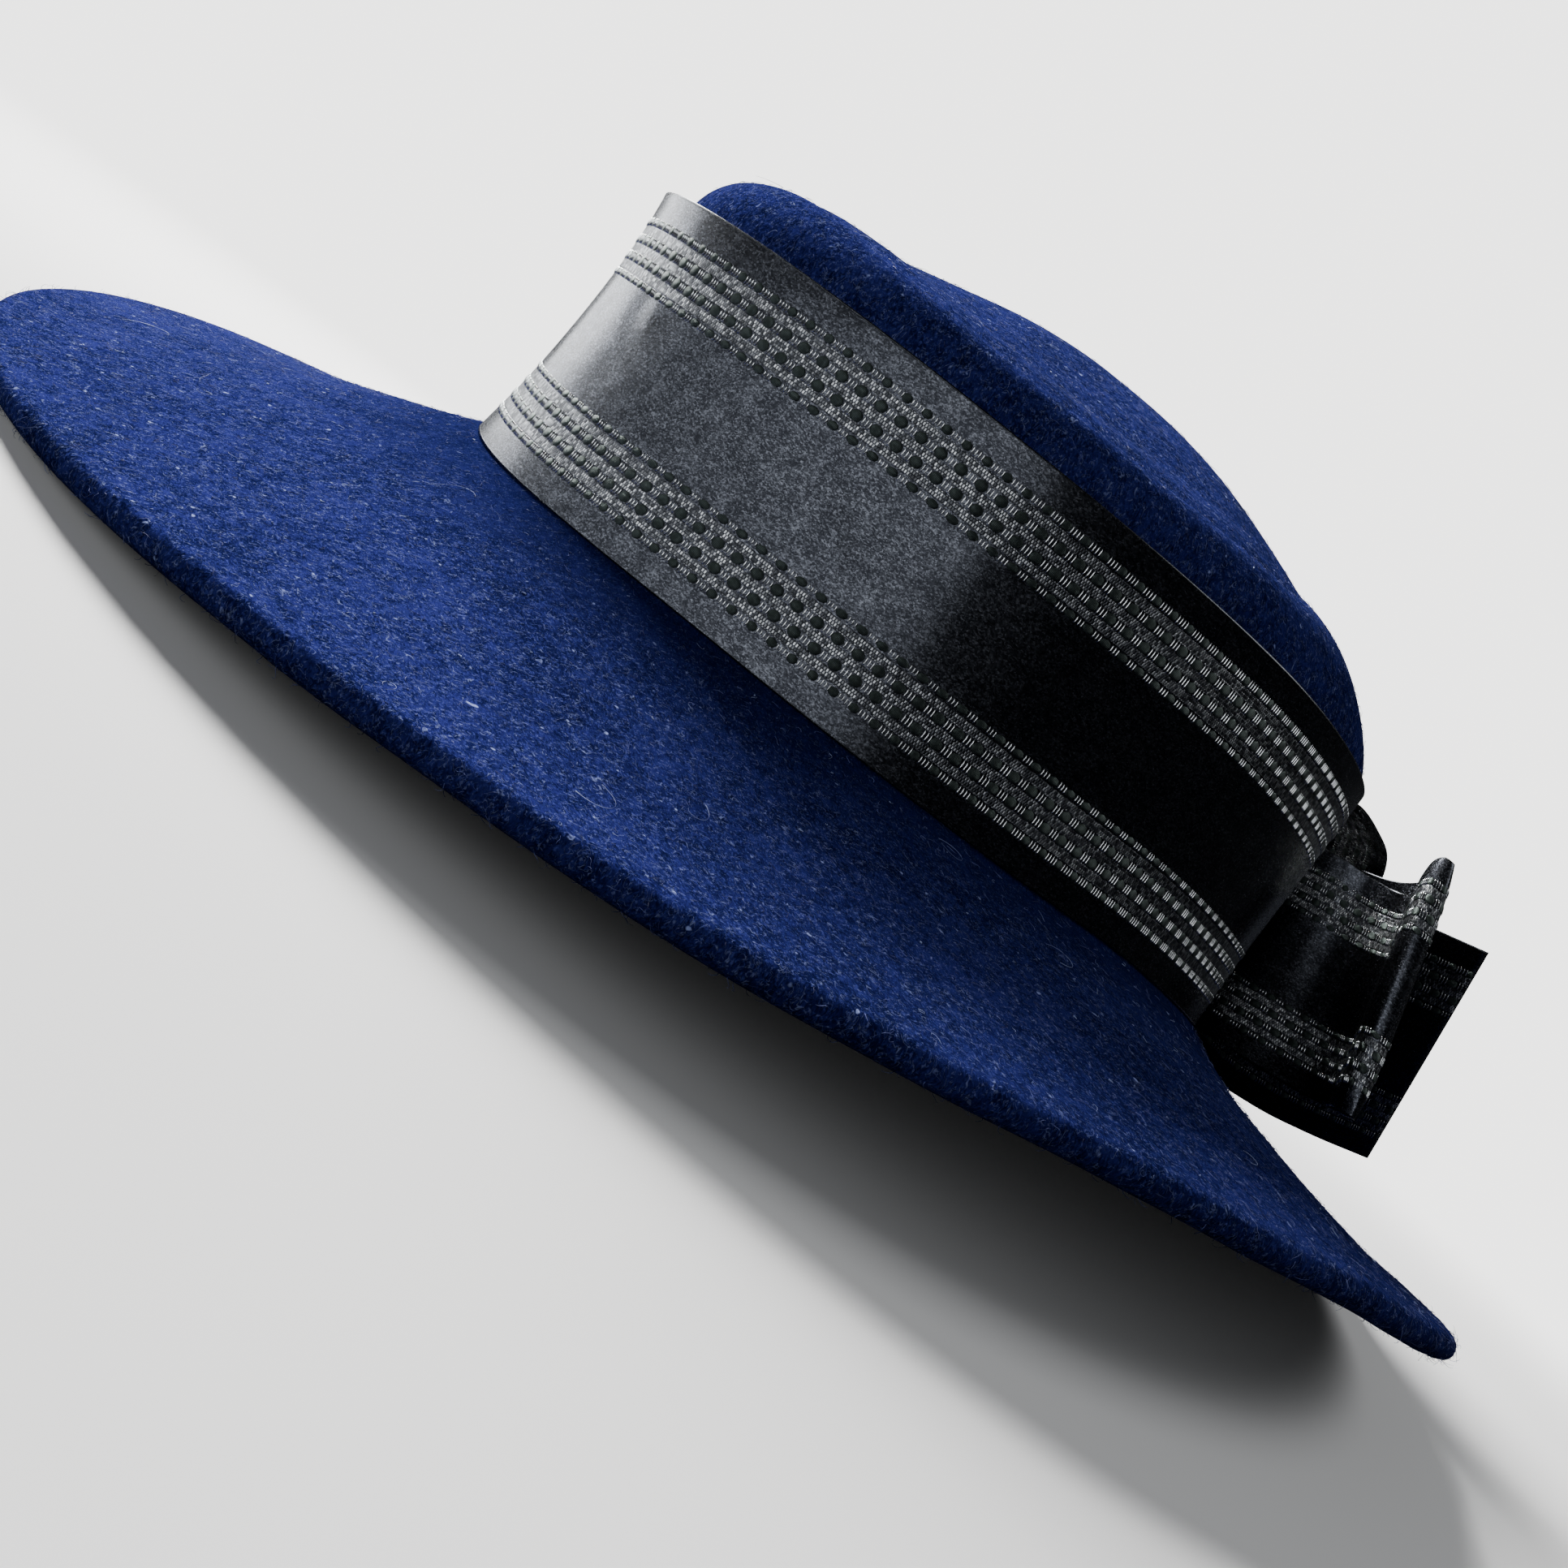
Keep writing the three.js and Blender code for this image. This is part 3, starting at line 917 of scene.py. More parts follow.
@dataclass(frozen=True)
class PadThread:
    """Dark greenish thread that fills the raised pads between the floats."""

    pitch: float = 0.22
    dark: Colour = (0.0340, 0.0440, 0.0390)
    line: Colour = (0.1150, 0.1420, 0.1300)

    def make(self) -> bpy.types.Material:
        """Writes the material, on the flat ribbon's UV map."""
        paint = Paint("pad_thread")
        uv, _, across = paint.flat_ribbon()
        thread = (across * MM_PER_METRE / self.pitch).part().within(0.2, 0.8, 0.4)
        worn = paint.noise(uv, 900, 1.0).rise(0.35, 0.65)
        colour = paint.blend(thread * (worn * 0.6 + 0.4), self.dark, self.line)
        varying = {"Base Color": colour, "Normal": paint.bump(thread, 0.00006, 0.8)}
        return paint.surface({"Roughness": 0.42, "Metallic": 0.93, "Specular IOR Level": 0.2}, varying)


# ------------------------------------------------------------------ felt body


@dataclass
class FeltBody:
    """Crown and brim blocked from one felt, with a turned edge."""

    form: HatForm
    around: int = 264
    brim_rings: int = 34
    wall_rings: int = 10
    crown_rings: int = 64
    edge_rings: int = 7
    hem_depth: float = 0.13
    wall_height: float = 42.0
    brim_crowding: float = 1.15
    wall_crowding: float = 2.2
    crown_crowding: float = 1.7
    crown_reach: float = 0.988
    even_below: float = 12.0

    def _outer(self, angle: np.ndarray) -> tuple[np.ndarray, np.ndarray]:
        """Rings of the upper face from the brim's edge to the top of the crown.

        Args:
            angle: directions of a ring's points.

        Returns:
            The rings, and the felt's thickness at each.
        """
        form = self.form
        shares = 1 - np.linspace(0, 1, self.brim_rings) ** self.brim_crowding
        heights = self.wall_height * np.linspace(0, 1, self.wall_rings + 1)[1:] ** self.wall_crowding
        tops = 1 - self.crown_reach * np.linspace(0, 1, self.crown_rings) ** self.crown_crowding
        rings = [form.brim(angle, share) for share in shares]
        rings += [form.side(angle, height) for height in heights]
        rings += [form.top(angle, share) for share in tops]
        turned = np.clip((shares - (1 - self.hem_depth)) / self.hem_depth, 0, 1)
        thick = np.full(len(rings), form.felt)
        thick[: self.brim_rings] += (form.hem - form.felt) * turned**1.5
        return np.array(rings), thick

    def _under(self, outer: np.ndarray, thick: np.ndarray) -> np.ndarray:
        """Rings of the inner face, square to the outer one.

        Args:
            outer: rings of the outer face.
            thick: the felt's thickness at each ring.

        Returns:
            The rings.
        """
        round_it = np.roll(outer, -1, axis=1) - np.roll(outer, 1, axis=1)
        along = np.gradient(outer, axis=0)
        normal = np.cross(round_it, along)
        normal /= np.maximum(np.linalg.norm(normal, axis=2, keepdims=True), 1e-9)
        inner = outer - normal * thick[:, None, None]
        inner[..., 2] = np.maximum(inner[..., 2], 0)
        return inner

    def _edge(self, upper: np.ndarray, under: np.ndarray, angle: np.ndarray) -> np.ndarray:
        """Rings of the half-round edge, from its under face to its upper face.

        Args:
            upper: the upper face's outermost ring.
            under: the under face's outermost ring.
            angle: directions of a ring's points.

        Returns:
            The rings.
        """
        turn = np.linspace(0, math.pi, self.edge_rings + 2)[1:-1, None, None]
        middle, up = (upper + under) / 2, (upper - under) / 2
        out = self.form.outwards(angle)
        rings = middle - np.cos(turn) * up + np.sin(turn) * out * self.form.hem / 2
        rings[..., 2] = np.maximum(rings[..., 2], 0)
        return rings

    def unevenness(self, points: np.ndarray) -> np.ndarray:
        """How far hand blocking has left the felt above or below its smooth form, in millimetres.

        Args:
            points: places on the felt.

        Returns:
            One height for each place.
        """
        x, y, z = points[..., 0], points[..., 1], points[..., 2]
        wave = np.sin(x * 0.081 + np.sin(y * 0.047) * 1.7) * np.sin(y * 0.073 + z * 0.05 + 0.6)
        ripple = np.sin(x * 0.21 - y * 0.13 + 1.1) * np.sin(y * 0.19 + x * 0.07)
        return 0.22 * wave + 0.07 * ripple

    def build(self, finish: bpy.types.Material) -> bpy.types.Object:
        """Makes the piece.

        Args:
            finish: the felt's material.

        Returns:
            The closed shell.
        """
        angle = np.linspace(0, TURN, self.around + 1)
        outer, thick = self._outer(angle[:-1])
        lift = self.unevenness(outer)
        lift[self.brim_rings : self.brim_rings + self.wall_rings] = 0
        outer[..., 2] += np.where(outer[..., 2] > self.even_below, lift, 0)
        inner = self._under(outer, thick)
        edge = self._edge(outer[0], inner[0], angle[:-1])
        rings = np.concatenate([inner[::-1], edge, outer])
        rings = np.concatenate([rings, rings[:, :1]], axis=1)
        shell = grid_of(to_frame(rings), "flat")
        bmesh.ops.remove_doubles(shell, verts=shell.verts, dist=1e-6)
        rims = [e for e in shell.edges if e.is_boundary]
        bmesh.ops.holes_fill(shell, edges=rims, sides=0)
        caps = [f for f in shell.faces if len(f.verts) > 4]
        bmesh.ops.poke(shell, faces=caps)
        bmesh.ops.recalc_face_normals(shell, faces=shell.faces)
        piece = finish_piece(shell, "felt_shell", finish)
        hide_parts("felt_body")
        return piece


@dataclass(frozen=True)
class Fibres:
    """One kind of loose fibre; lengths and thickness are in millimetres.

    A fibre bends by curl turns over its length, and lift is how steeply it leaves the felt.
    """

    name: str
    count: int
    length: tuple[float, float]
    thickness: float
    curl: float
    lift: float
    finish: bpy.types.Material
    rim_only: bool = False
    joints: int = 5


@dataclass
class FeltNap:
    """Loose fibres that stand and lie on the felt.

    The limits are shares of the band's oval, a height in millimetres and the upward part of the
    direction square to the felt.
    """

    form: HatForm
    felt: bpy.types.Object
    seed: int = 11
    rim_from: float = 1.66
    rim_steep: float = 0.9
    crown_within: float = 0.985
    crown_above: float = 84.0
    facing_up: float = 0.15

    def _places(self, count: int, rng: np.random.Generator, rim_only: bool) -> tuple[np.ndarray, np.ndarray]:
        """Picks places on the felt's outer face.

        Args:
            count: how many.
            rng: source of chance.
            rim_only: whether they lie on the brim's edge alone.

        Returns:
            The places and the directions square to the felt there, in metres.
        """
        mesh = self.felt.data
        mesh.calc_loop_triangles()
        points = np.array([v.co for v in mesh.vertices])
        faces = np.array([t.vertices for t in mesh.loop_triangles])
        normals = np.array([t.normal for t in mesh.loop_triangles])
        areas = np.array([t.area for t in mesh.loop_triangles])
        middle = points[faces].mean(axis=1) / MM - np.array(SHIFT) / MM
        radius = np.hypot(middle[:, 0] / self.form.band_breadth, middle[:, 1] / self.form.band_length)
        if rim_only:
            weight = areas * (radius > self.rim_from) * (normals[:, 2] < self.rim_steep)
        else:
            on_crown = (radius < self.crown_within) & (middle[:, 2] > self.crown_above)
            on_brim = radius > 1.0
            weight = areas * (normals[:, 2] > self.facing_up) * (on_crown | on_brim)
        chosen = rng.choice(len(faces), count, p=weight / weight.sum())
        u, v = rng.random((2, count, 1))
        u, v = np.where(u + v > 1, 1 - u, u), np.where(u + v > 1, 1 - v, v)
        a, b, c = (points[faces[chosen, k]] for k in range(3))
        return a + u * (b - a) + v * (c - a), normals[chosen]

    @staticmethod
    def _strand(thickness: float, joints: int) -> bmesh.types.BMesh:
        """One straight, three-sided, tapered strand along Z, 1 long.

        Args:
            thickness: breadth at its root, in metres.
            joints: how many stretches it has.

        Returns:
            The strand.
        """
        strand = bmesh.new()
        bmesh.ops.create_cone(
            strand, cap_ends=True, segments=3, radius1=thickness / 2, radius2=thickness / 5, depth=1.0,
            matrix=Matrix.Translation((0, 0, 0.5)),
        )
        rising = [e for e in strand.edges if abs(e.verts[0].co.z - e.verts[1].co.z) > 0.5]
        bmesh.ops.subdivide_edges(strand, edges=rising, cuts=joints - 1)
        return strand

    def build(self, kind: Fibres) -> bpy.types.Object:
        """Makes one kind of loose fibre all over the felt.

        Args:
            kind: the kind.

        Returns:
            The piece.
        """
        count = kind.count
        rng = np.random.default_rng(self.seed + count)
        base, normal = self._places(count, rng, kind.rim_only)
        mesh, seed = many(self._strand(kind.thickness * MM, kind.joints), count, kind.name)
        loose = rng.normal(size=(count, 3))
        flat = loose - normal * (loose * normal).sum(axis=1, keepdims=True)
        flat /= np.linalg.norm(flat, axis=1, keepdims=True)
        side = np.cross(normal, flat)
        long = rng.uniform(*kind.length, (count, 1)) * MM
        bend = rng.uniform(0.5, 1.4, (count, 1)) * rng.choice((-1, 1), (count, 1)) * kind.curl * TURN
        rise = kind.lift * rng.uniform(0.3, 1.0, (count, 1))
        t = seed[:, 2][None, :]
        turn = bend * t + 0.6 * np.sin(t * 5 + rng.uniform(0, TURN, (count, 1)))
        order = np.argsort(seed[:, 2], kind="stable")
        steps = np.diff(t[:, order], prepend=0)
        run, slip = np.zeros((2, count, len(seed)))
        run[:, order] = np.cumsum(np.cos(turn)[:, order] * steps, axis=1)
        slip[:, order] = np.cumsum(np.sin(turn)[:, order] * steps, axis=1)
        height = rise * np.sin(math.pi * 0.62 * t) * 0.6
        centre = (
            base[:, None]
            + flat[:, None] * (run * long)[..., None]
            + side[:, None] * (slip * long)[..., None]
            + normal[:, None] * (height * long + kind.thickness * MM * 0.4)[..., None]
        )
        around = side[:, None] * seed[None, :, 0, None] + normal[:, None] * seed[None, :, 1, None]
        points = centre + around
        points[..., 2] = np.maximum(points[..., 2], 0.0002)
        put_points(mesh, points.reshape(-1, 3))
        pale = mesh.attributes.new("pale", "FLOAT", "POINT")
        shade = np.repeat(rng.random(count) ** 1.5, len(seed))
        pale.data.foreach_set("value", shade.astype(np.float32))
        return finish_piece(mesh, kind.name, kind.finish)


# ------------------------------------------------------------------ ribbon


class Course:
    """Where a length of ribbon runs.  Subclasses give its surface, in millimetres."""

    closed = True

    def surface(self, along: np.ndarray, across: np.ndarray) -> np.ndarray:
        """Points on the ribbon's face.

        Args:
            along: shares of its length.
            across: shares of its width, from the lower edge.

        Returns:
            One point for each pair.
        """
        raise NotImplementedError

    def measure(self, samples: int = 4000) -> float:
        """Measures the ribbon along its middle and keeps the measure for place().

        Args:
            samples: how many steps are measured.

        Returns:
            Its length.
        """
        shares = np.linspace(0, 1, samples + 1)
        line = self.surface(shares, np.full_like(shares, 0.5))
        steps = np.linalg.norm(np.diff(line, axis=0), axis=1)
        self.lengths = np.concatenate([[0], np.cumsum(steps)])
        self.shares = shares
        return float(self.lengths[-1])

    def place(self, flat: np.ndarray, width: float) -> np.ndarray:
        """Wraps points of the flat ribbon onto its course.

        Args:
            flat: points with X along the ribbon, Y across it and Z off its face.
            width: the ribbon's width.

        Returns:
            The wrapped points.
        """
        along = np.interp(flat[:, 0], self.lengths, self.shares)
        across = flat[:, 1] / width
        nudge = 1e-4
        if not self.closed:
            along = np.clip(along, nudge, 1 - nudge)
        here = self.surface(along, across)
        ahead = self.surface(along + nudge, across) - self.surface(along - nudge, across)
        up = self.surface(along, across + nudge) - self.surface(along, across - nudge)
        normal = np.cross(ahead, up)
        normal /= np.linalg.norm(normal, axis=1, keepdims=True)
        return here + normal * flat[:, 2:3]


@dataclass
class BandCourse(Course):
    """Round the crown, from the middle of the back and back again."""

    form: HatForm
    off: float = 1.32
    lip: float = 1.4
    pull: float = 0.10
    dimple: float = 0.55
    dimples: tuple[tuple[float, float, float, float], ...] = (
        (0.13, 0.66, 0.07, 0.05), (0.80, 0.47, 0.04, 0.08), (4.9, 0.55, 0.05, 0.06),
    )

    def surface(self, along: np.ndarray, across: np.ndarray) -> np.ndarray:
        """Points on the band's outer face; see Course.surface."""
        angle = TURN * (along + 0.5)
        smooth_face = self.form.band(angle, across, self.off)
        waves = np.sin(angle * 23 + np.sin(angle * 5) * 2) * np.sin(across * math.pi) ** 2
        crease = sum(self._crease(angle, across, *dimple) for dimple in self.dimples)
        crease += self.lip * across**6 * np.cos(angle / 2) ** 8
        return smooth_face + self.form.outwards(angle) * (self.pull * waves + crease)[:, None]

    def _crease(
        self, angle: np.ndarray, across: np.ndarray, at: float, level: float, broad: float, tall: float
    ) -> np.ndarray:
        """A shallow dimple in the ribbon.

        Args:
            angle: directions.
            across: shares of the width.
            at: the dimple's direction.
            level: its share of the width.
            broad: its breadth, as an angle.
            tall: its height, as a share of the width.

        Returns:
            How far it stands out, in millimetres.
        """
        x, y = (angle - at) / broad, (across - level) / tall
        away = (np.mod(x * broad + math.pi, TURN) - math.pi) / broad
        return self.dimple * np.sin(away * 2.2 + y) * np.exp(-(away**2) - y**2)


@dataclass(frozen=True)
class Station:
    """A place along the ribbon of the bow, in millimetres."""

    x: float
    y: float
    z: float
    span: float
    tuck: float
    lean: float

    def other_side(self) -> "Station":
        """The same place on the other half of the bow."""
        return Station(-self.x, self.y, self.z, self.span, -self.tuck, self.lean)

    def middle(self) -> np.ndarray:
        """The middle of the ribbon's width."""
        return np.array([self.x, self.y, self.z])

    def upper(self) -> np.ndarray:
        """The ribbon's upper edge."""
        up = np.array([-self.tuck, -self.lean, 1.0])
        return self.middle() + up / np.linalg.norm(up) * self.span / 2


class StationCourse(Course):
    """A course through stations."""

    def __init__(self, stations: list[Station], closed: bool) -> None:
        """Runs smooth curves through the stations.

        Args:
            stations: the stations in order.
            closed: whether the ribbon returns to its start.
        """
        self.closed = closed
        self.middles = Spline(np.array([s.middle() for s in stations]), closed)
        self.uppers = Spline(np.array([s.upper() for s in stations]), closed)

    def surface(self, along: np.ndarray, across: np.ndarray) -> np.ndarray:
        """Points on the ribbon's face; see Course.surface."""
        middle = self.middles.at(along)
        return middle + (self.uppers.at(along) - middle) * (2 * across - 1)[:, None]


class LoopCourse(StationCourse):
    """The two loops, whose folds are pinched towards the ribbon's edges."""

    fold: float = 74.0
    reach: float = 9.0
    pinch: float = 0.5
    fold_inset: float = 0.6
    fold_y: float = 94.4

    def surface(self, along: np.ndarray, across: np.ndarray) -> np.ndarray:
        """Points on the ribbon's face; see Course.surface."""
        points = super().surface(along, across)
        middle = self.middles.at(along)
        near = np.clip(1 - np.abs(np.abs(middle[:, 0]) - self.fold) / self.reach, 0, 1)
        near = smooth(near)
        edge = np.clip(np.abs(2 * across - 1), 0, 1) ** 5
        axis = points.copy()
        axis[:, 0] += np.sign(middle[:, 0]) * (self.fold - self.fold_inset) - middle[:, 0]
        axis[:, 1] += self.fold_y - middle[:, 1]
        return points + (axis - points) * (near * edge * self.pinch)[:, None]


class KnotCourse(Course):
    """One turn of ribbon round the middle of the bow."""

    closed = True

    def __init__(self, profile: tuple[tuple[float, float], ...], breadth: float) -> None:
        """Runs a smooth curve through the profile.

        Args:
            profile: Y and Z of the turn, seen from the side.
            breadth: its width across the bow.
        """
        self.line = Spline(np.array([(0, y, z) for y, z in profile], float), True)
        self.breadth = breadth

    def surface(self, along: np.ndarray, across: np.ndarray) -> np.ndarray:
        """Points on the ribbon's face; see Course.surface."""
        points = self.line.at(along)
        points[:, 0] = (0.5 - across) * self.breadth
        return points


@dataclass
class RibbonPiece:
    """A length of the striped ribbon on its course: cloth, floats and pads."""

    name: str
    course: Course
    stripes: Stripes
    nodes: tuple[str, ...]
    held: Held
    rests_on: tuple[str, ...]
    step: float = 1.5
    rows: int = 24
    cloth: float = 0.45
    both_faces: bool = False
    edge_levels: tuple[float, ...] = (0, 0.35, 0.8)
    edge_margin: float = 1.6
    end_margin: float = 0.3

    def _wrapped(self, flat: np.ndarray) -> np.ndarray:
        """Flat points on the course, in metres."""
        return to_frame(self.course.place(flat, self.stripes.width))

    def _cloth(self, length: float, finish: bpy.types.Material) -> bpy.types.Object:
        """The ribbon itself.

        Args:
            length: its length.
            finish: its material.

        Returns:
            The piece.
        """
        columns = max(8, round(length / self.step)) + 1
        width, edge = self.stripes.width, np.array(self.edge_levels)
        inner = np.linspace(self.edge_margin, width - self.edge_margin, self.rows)
        levels = np.concatenate([edge, inner, width - edge[::-1]])
        x, y = np.meshgrid(np.linspace(0, length, columns), levels)
        flat = np.stack([x, y, np.zeros_like(x)], axis=-1)
        wrapped = self._wrapped(flat.reshape(-1, 3)).reshape(flat.shape)
        sheet = grid_of(wrapped, "flat")
        layer = sheet.loops.layers.uv["flat"]
        heights = levels * MM
        for face in sheet.faces:
            for loop in face.loops:
                u, v = loop[layer].uv
                row = round(v * (len(levels) - 1))
                loop[layer].uv = (u * length * MM, heights[row])
        if self.course.closed:
            bmesh.ops.remove_doubles(sheet, verts=sheet.verts, dist=1e-6)
        piece = finish_piece(sheet, self.name, finish)
        wall = piece.modifiers.new("cloth", "SOLIDIFY")
        wall.thickness = self.cloth * MM
        wall.offset = -1.0
        return piece

    def _sites(self, length: float) -> tuple[np.ndarray, np.ndarray]:
        """Where the floats and pads lie on the flat ribbon.

        Args:
            length: the ribbon's length.

        Returns:
            Rows of (along, across, length) of the floats, and (along, across, length, breadth) of
            the pads.
        """
        layout = self.stripes
        repeats = int(length / layout.repeat)
        pitch = length / repeats
        floats, pads = [], []
        for row, inward in enumerate(layout.rows):
            for level in (inward, layout.width - inward):
                for k in range(repeats):
                    start = (k + layout.slips[row]) * pitch
                    for n in range(layout.float_counts[row]):
                        floats.append((start + n * layout.float_pitch, level, layout.float_lengths[row]))
                    middle = start + (layout.float_counts[row] - 1) * layout.float_pitch / 2 + pitch / 2
                    pads.append((middle, level, layout.pad_lengths[row], layout.pad_breadths[row]))
        return np.array(floats), np.array(pads)

    def _relief(
        self, name: str, seed: bmesh.types.BMesh, sites: np.ndarray, sizes: np.ndarray, length: float,
        bow: float, finish: bpy.types.Material,
    ) -> bpy.types.Object:
        """Small raised shapes on the ribbon's face, and on its back too if that shows.

        Args:
            name: name of the piece.
            seed: the small shape, 1 long each way.
            sites: where each lies on the flat ribbon.
            sizes: each one's size along, across and off the ribbon.
            length: the ribbon's length.
            bow: how far a shape's middle bends along the ribbon.
            finish: material.

        Returns:
            The piece.
        """
        faces = 2 if self.both_faces else 1
        count = len(sites)
        mesh, points = many(seed, count * faces, name)
        turn_over(mesh, count * len(points))
        flat = points[None] * sizes[:, None]
        flat[..., 0] += bow * (1 - 4 * points[None, :, 1] ** 2) + sites[:, None, 0]
        flat[..., 1] += sites[:, None, 1]
        flat = np.tile(flat, (faces, 1, 1))
        flat[count:, :, 2] = -flat[count:, :, 2] - self.cloth
        flat = flat.reshape(-1, 3)
        if self.course.closed:
            flat[:, 0] = np.mod(flat[:, 0], length)
        else:
            flat[:, 0] = np.clip(flat[:, 0], self.end_margin, length - self.end_margin)
        put_uv(mesh, "flat", flat[:, :2] * MM)
        put_points(mesh, self._wrapped(flat))
        return finish_piece(mesh, name, finish)

    @staticmethod
    def _upper_half(shape: bmesh.types.BMesh) -> bmesh.types.BMesh:
        """Keeps a shape's upper half and makes it as high as the whole one was."""
        everything = shape.verts[:] + shape.edges[:] + shape.faces[:]
        bmesh.ops.bisect_plane(
            shape, geom=everything, plane_co=(0, 0, -0.05), plane_no=(0, 0, 1), clear_inner=True
        )
        bmesh.ops.scale(shape, vec=(1, 1, 2), verts=shape.verts)
        return shape

    def _dome(self, around: int, rings: int) -> bmesh.types.BMesh:
        """Half of a round shape, 1 long, 1 broad and 1 high.

        Args:
            around: points round it.
            rings: rings in the whole ball.

        Returns:
            The dome.
        """
        dome = bmesh.new()
        bmesh.ops.create_uvsphere(dome, u_segments=around, v_segments=rings, radius=0.5)
        return self._upper_half(dome)

    def _bar(self, around: int, taper: float) -> bmesh.types.BMesh:
        """Half of a round bar that lies across the ribbon, 1 long, 1 broad and 1 high.

        Args:
            around: points round it.
            taper: how much of each end is rounded off.

        Returns:
            The bar.
        """
        bar = bmesh.new()
        bmesh.ops.create_cone(
            bar, cap_ends=True, segments=around, radius1=0.5, radius2=0.5, depth=1,
            matrix=Matrix.Rotation(math.radians(90), 4, "X"),
        )
        rims = [e for e in bar.edges if abs(e.verts[0].co.y - e.verts[1].co.y) < 0.1]
        bmesh.ops.bevel(
            bar, geom=rims, offset=taper, segments=1, profile=0.5, material=-1, affect="EDGES"
        )
        return self._upper_half(bar)

    def build(self, finishes: "RibbonFinishes") -> list[bpy.types.Object]:
        """Makes the length of ribbon.

        Args:
            finishes: its materials.

        Returns:
            The cloth, the floats and the pads.
        """
        layout = self.stripes
        length = self.course.measure()
        cloth = self._cloth(length, finishes.satin)
        floats, pads = self._sites(length)
        breadth = np.full(len(floats), layout.float_breadth)
        float_sizes = np.column_stack([breadth, floats[:, 2], np.full(len(floats), layout.float_height)])
        pad_sizes = np.column_stack([pads[:, 2:4], np.full(len(pads), layout.pad_height)])
        raised = self._relief(
            self.name + "_floats", self._bar(around=8, taper=0.24), floats, float_sizes, length,
            layout.float_bow, finishes.thread,
        )
        padded = self._relief(
            self.name + "_pads", self._dome(around=8, rings=6), pads, pad_sizes, length, 0.0, finishes.pad
        )
        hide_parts(*self.nodes)
        LOG.info("%s: ribbon %.0f mm long, %d floats, %d pads", self.name, length, len(floats), len(pads))
        return [cloth, raised, padded]


@dataclass(frozen=True)
class RibbonFinishes:
    """Materials of the ribbon's cloth, floats and pads."""

    satin: bpy.types.Material
    thread: bpy.types.Material
    pad: bpy.types.Material


def station_rows(*rows: tuple[float, ...]) -> list[Station]:
    """Stations from rows of x, y, z, span, tuck and lean."""
    return [Station(*row) for row in rows]


@dataclass
class Bow:
    """The tied bow on the back of the band."""

    stripes: Stripes
    loop: list[Station] = field(
        default_factory=lambda: station_rows(
            (0, 101.5, 50.0, 46, 0, 0.1),
            (14, 101.4, 49.6, 47, 0, 0.1),
            (28, 99.0, 50.0, 49, 0.06, 0.08),
            (37, 98.9, 51.2, 50, 0.14, 0.06),
            (44, 101.6, 52.6, 50, 0.22, 0.05),
            (51, 104.8, 53.7, 49.5, 0.30, 0.04),
            (58.5, 106.0, 55.2, 49.5, 0.37, 0.03),
            (65, 102.6, 56.8, 50, 0.41, 0.01),
            (67.8, 97.2, 59.0, 53, 0.43, 0),
            (70.6, 92.7, 61.6, 57, 0.43, 0),
            (73.4, 91.0, 62.6, 58, 0.43, 0),
            (76.3, 92.5, 62.8, 58, 0.43, 0),
            (76.2, 95.5, 62.6, 58, 0.43, 0),
            (73.2, 97.9, 61.8, 57, 0.43, 0.01),
            (66, 103.4, 59, 54, 0.40, 0.02),
            (54, 109.2, 55.4, 52, 0.30, 0.05),
            (40, 110.0, 52.4, 51, 0.16, 0.08),
            (26, 107.6, 50.8, 50, 0.06, 0.1),
            (14, 104.8, 50.2, 48, 0, 0.1),
            (0, 103.4, 50.2, 47, 0, 0.1),
        )
    )
    tail: list[Station] = field(
        default_factory=lambda: station_rows(
            (0, 105.0, 50.0, 47, 0, 0.1),
            (14, 107.4, 48.8, 51, 0, 0.14),
            (30, 114.6, 45.6, 59, 0.02, 0.32),
            (42, 119.2, 46.4, 59, 0.03, 0.40),
            (55, 122.8, 49.6, 58.5, 0.02, 0.47),
            (70, 125.4, 54.0, 58, -0.07, 0.50),
        )
    )
    knot_breadth: float = 56.0
    knot: tuple[tuple[float, float], ...] = (
        (100.75, 40), (98.6, 62), (97.3, 80), (98.4, 87.4), (103.5, 89), (115, 87.6), (124, 84.6),
        (129, 78), (130.6, 64), (129.8, 46), (127, 30), (122.5, 22.6), (116.5, 20.8), (110.5, 22.2),
        (105.4, 24.2), (102.5, 27),
    )

    def _loop_course(self) -> Course:
        """The two loops as one closed ribbon."""
        other = [s.other_side() for s in reversed(self.loop)]
        return LoopCourse(self.loop[:-1] + other[:-1], True)

    def _tail_course(self) -> Course:
        """The two tails as one ribbon through the knot."""
        other = [s.other_side() for s in reversed(self.tail)]
        return StationCourse(other + self.tail[1:], False)

    def _knot_course(self) -> Course:
        """The turn of ribbon round the middle."""
        return KnotCourse(self.knot, self.knot_breadth)

    def build(self, finishes: RibbonFinishes) -> list[bpy.types.Object]:
        """Makes loops, tails and knot.

        Args:
            finishes: the ribbon's materials.

        Returns:
            All its pieces.
        """
        parts = (
            RibbonPiece(
                "loops_ribbon", self._loop_course(), self.stripes, ("bow_loops",), Held.FOLDED,
                ("hat_band",), step=0.8,
            ),
            RibbonPiece(
                "tails_ribbon", self._tail_course(), self.stripes, ("bow_tails",), Held.FOLDED,
                ("bow_knot",), both_faces=True,
            ),
            RibbonPiece(
                "knot_ribbon", self._knot_course(), self.stripes, ("bow_knot",), Held.FOLDED,
                ("hat_band",), step=1.0, both_faces=True,
            ),
        )
        return [piece for part in parts for piece in part.build(finishes)]


# ------------------------------------------------------------------ studio


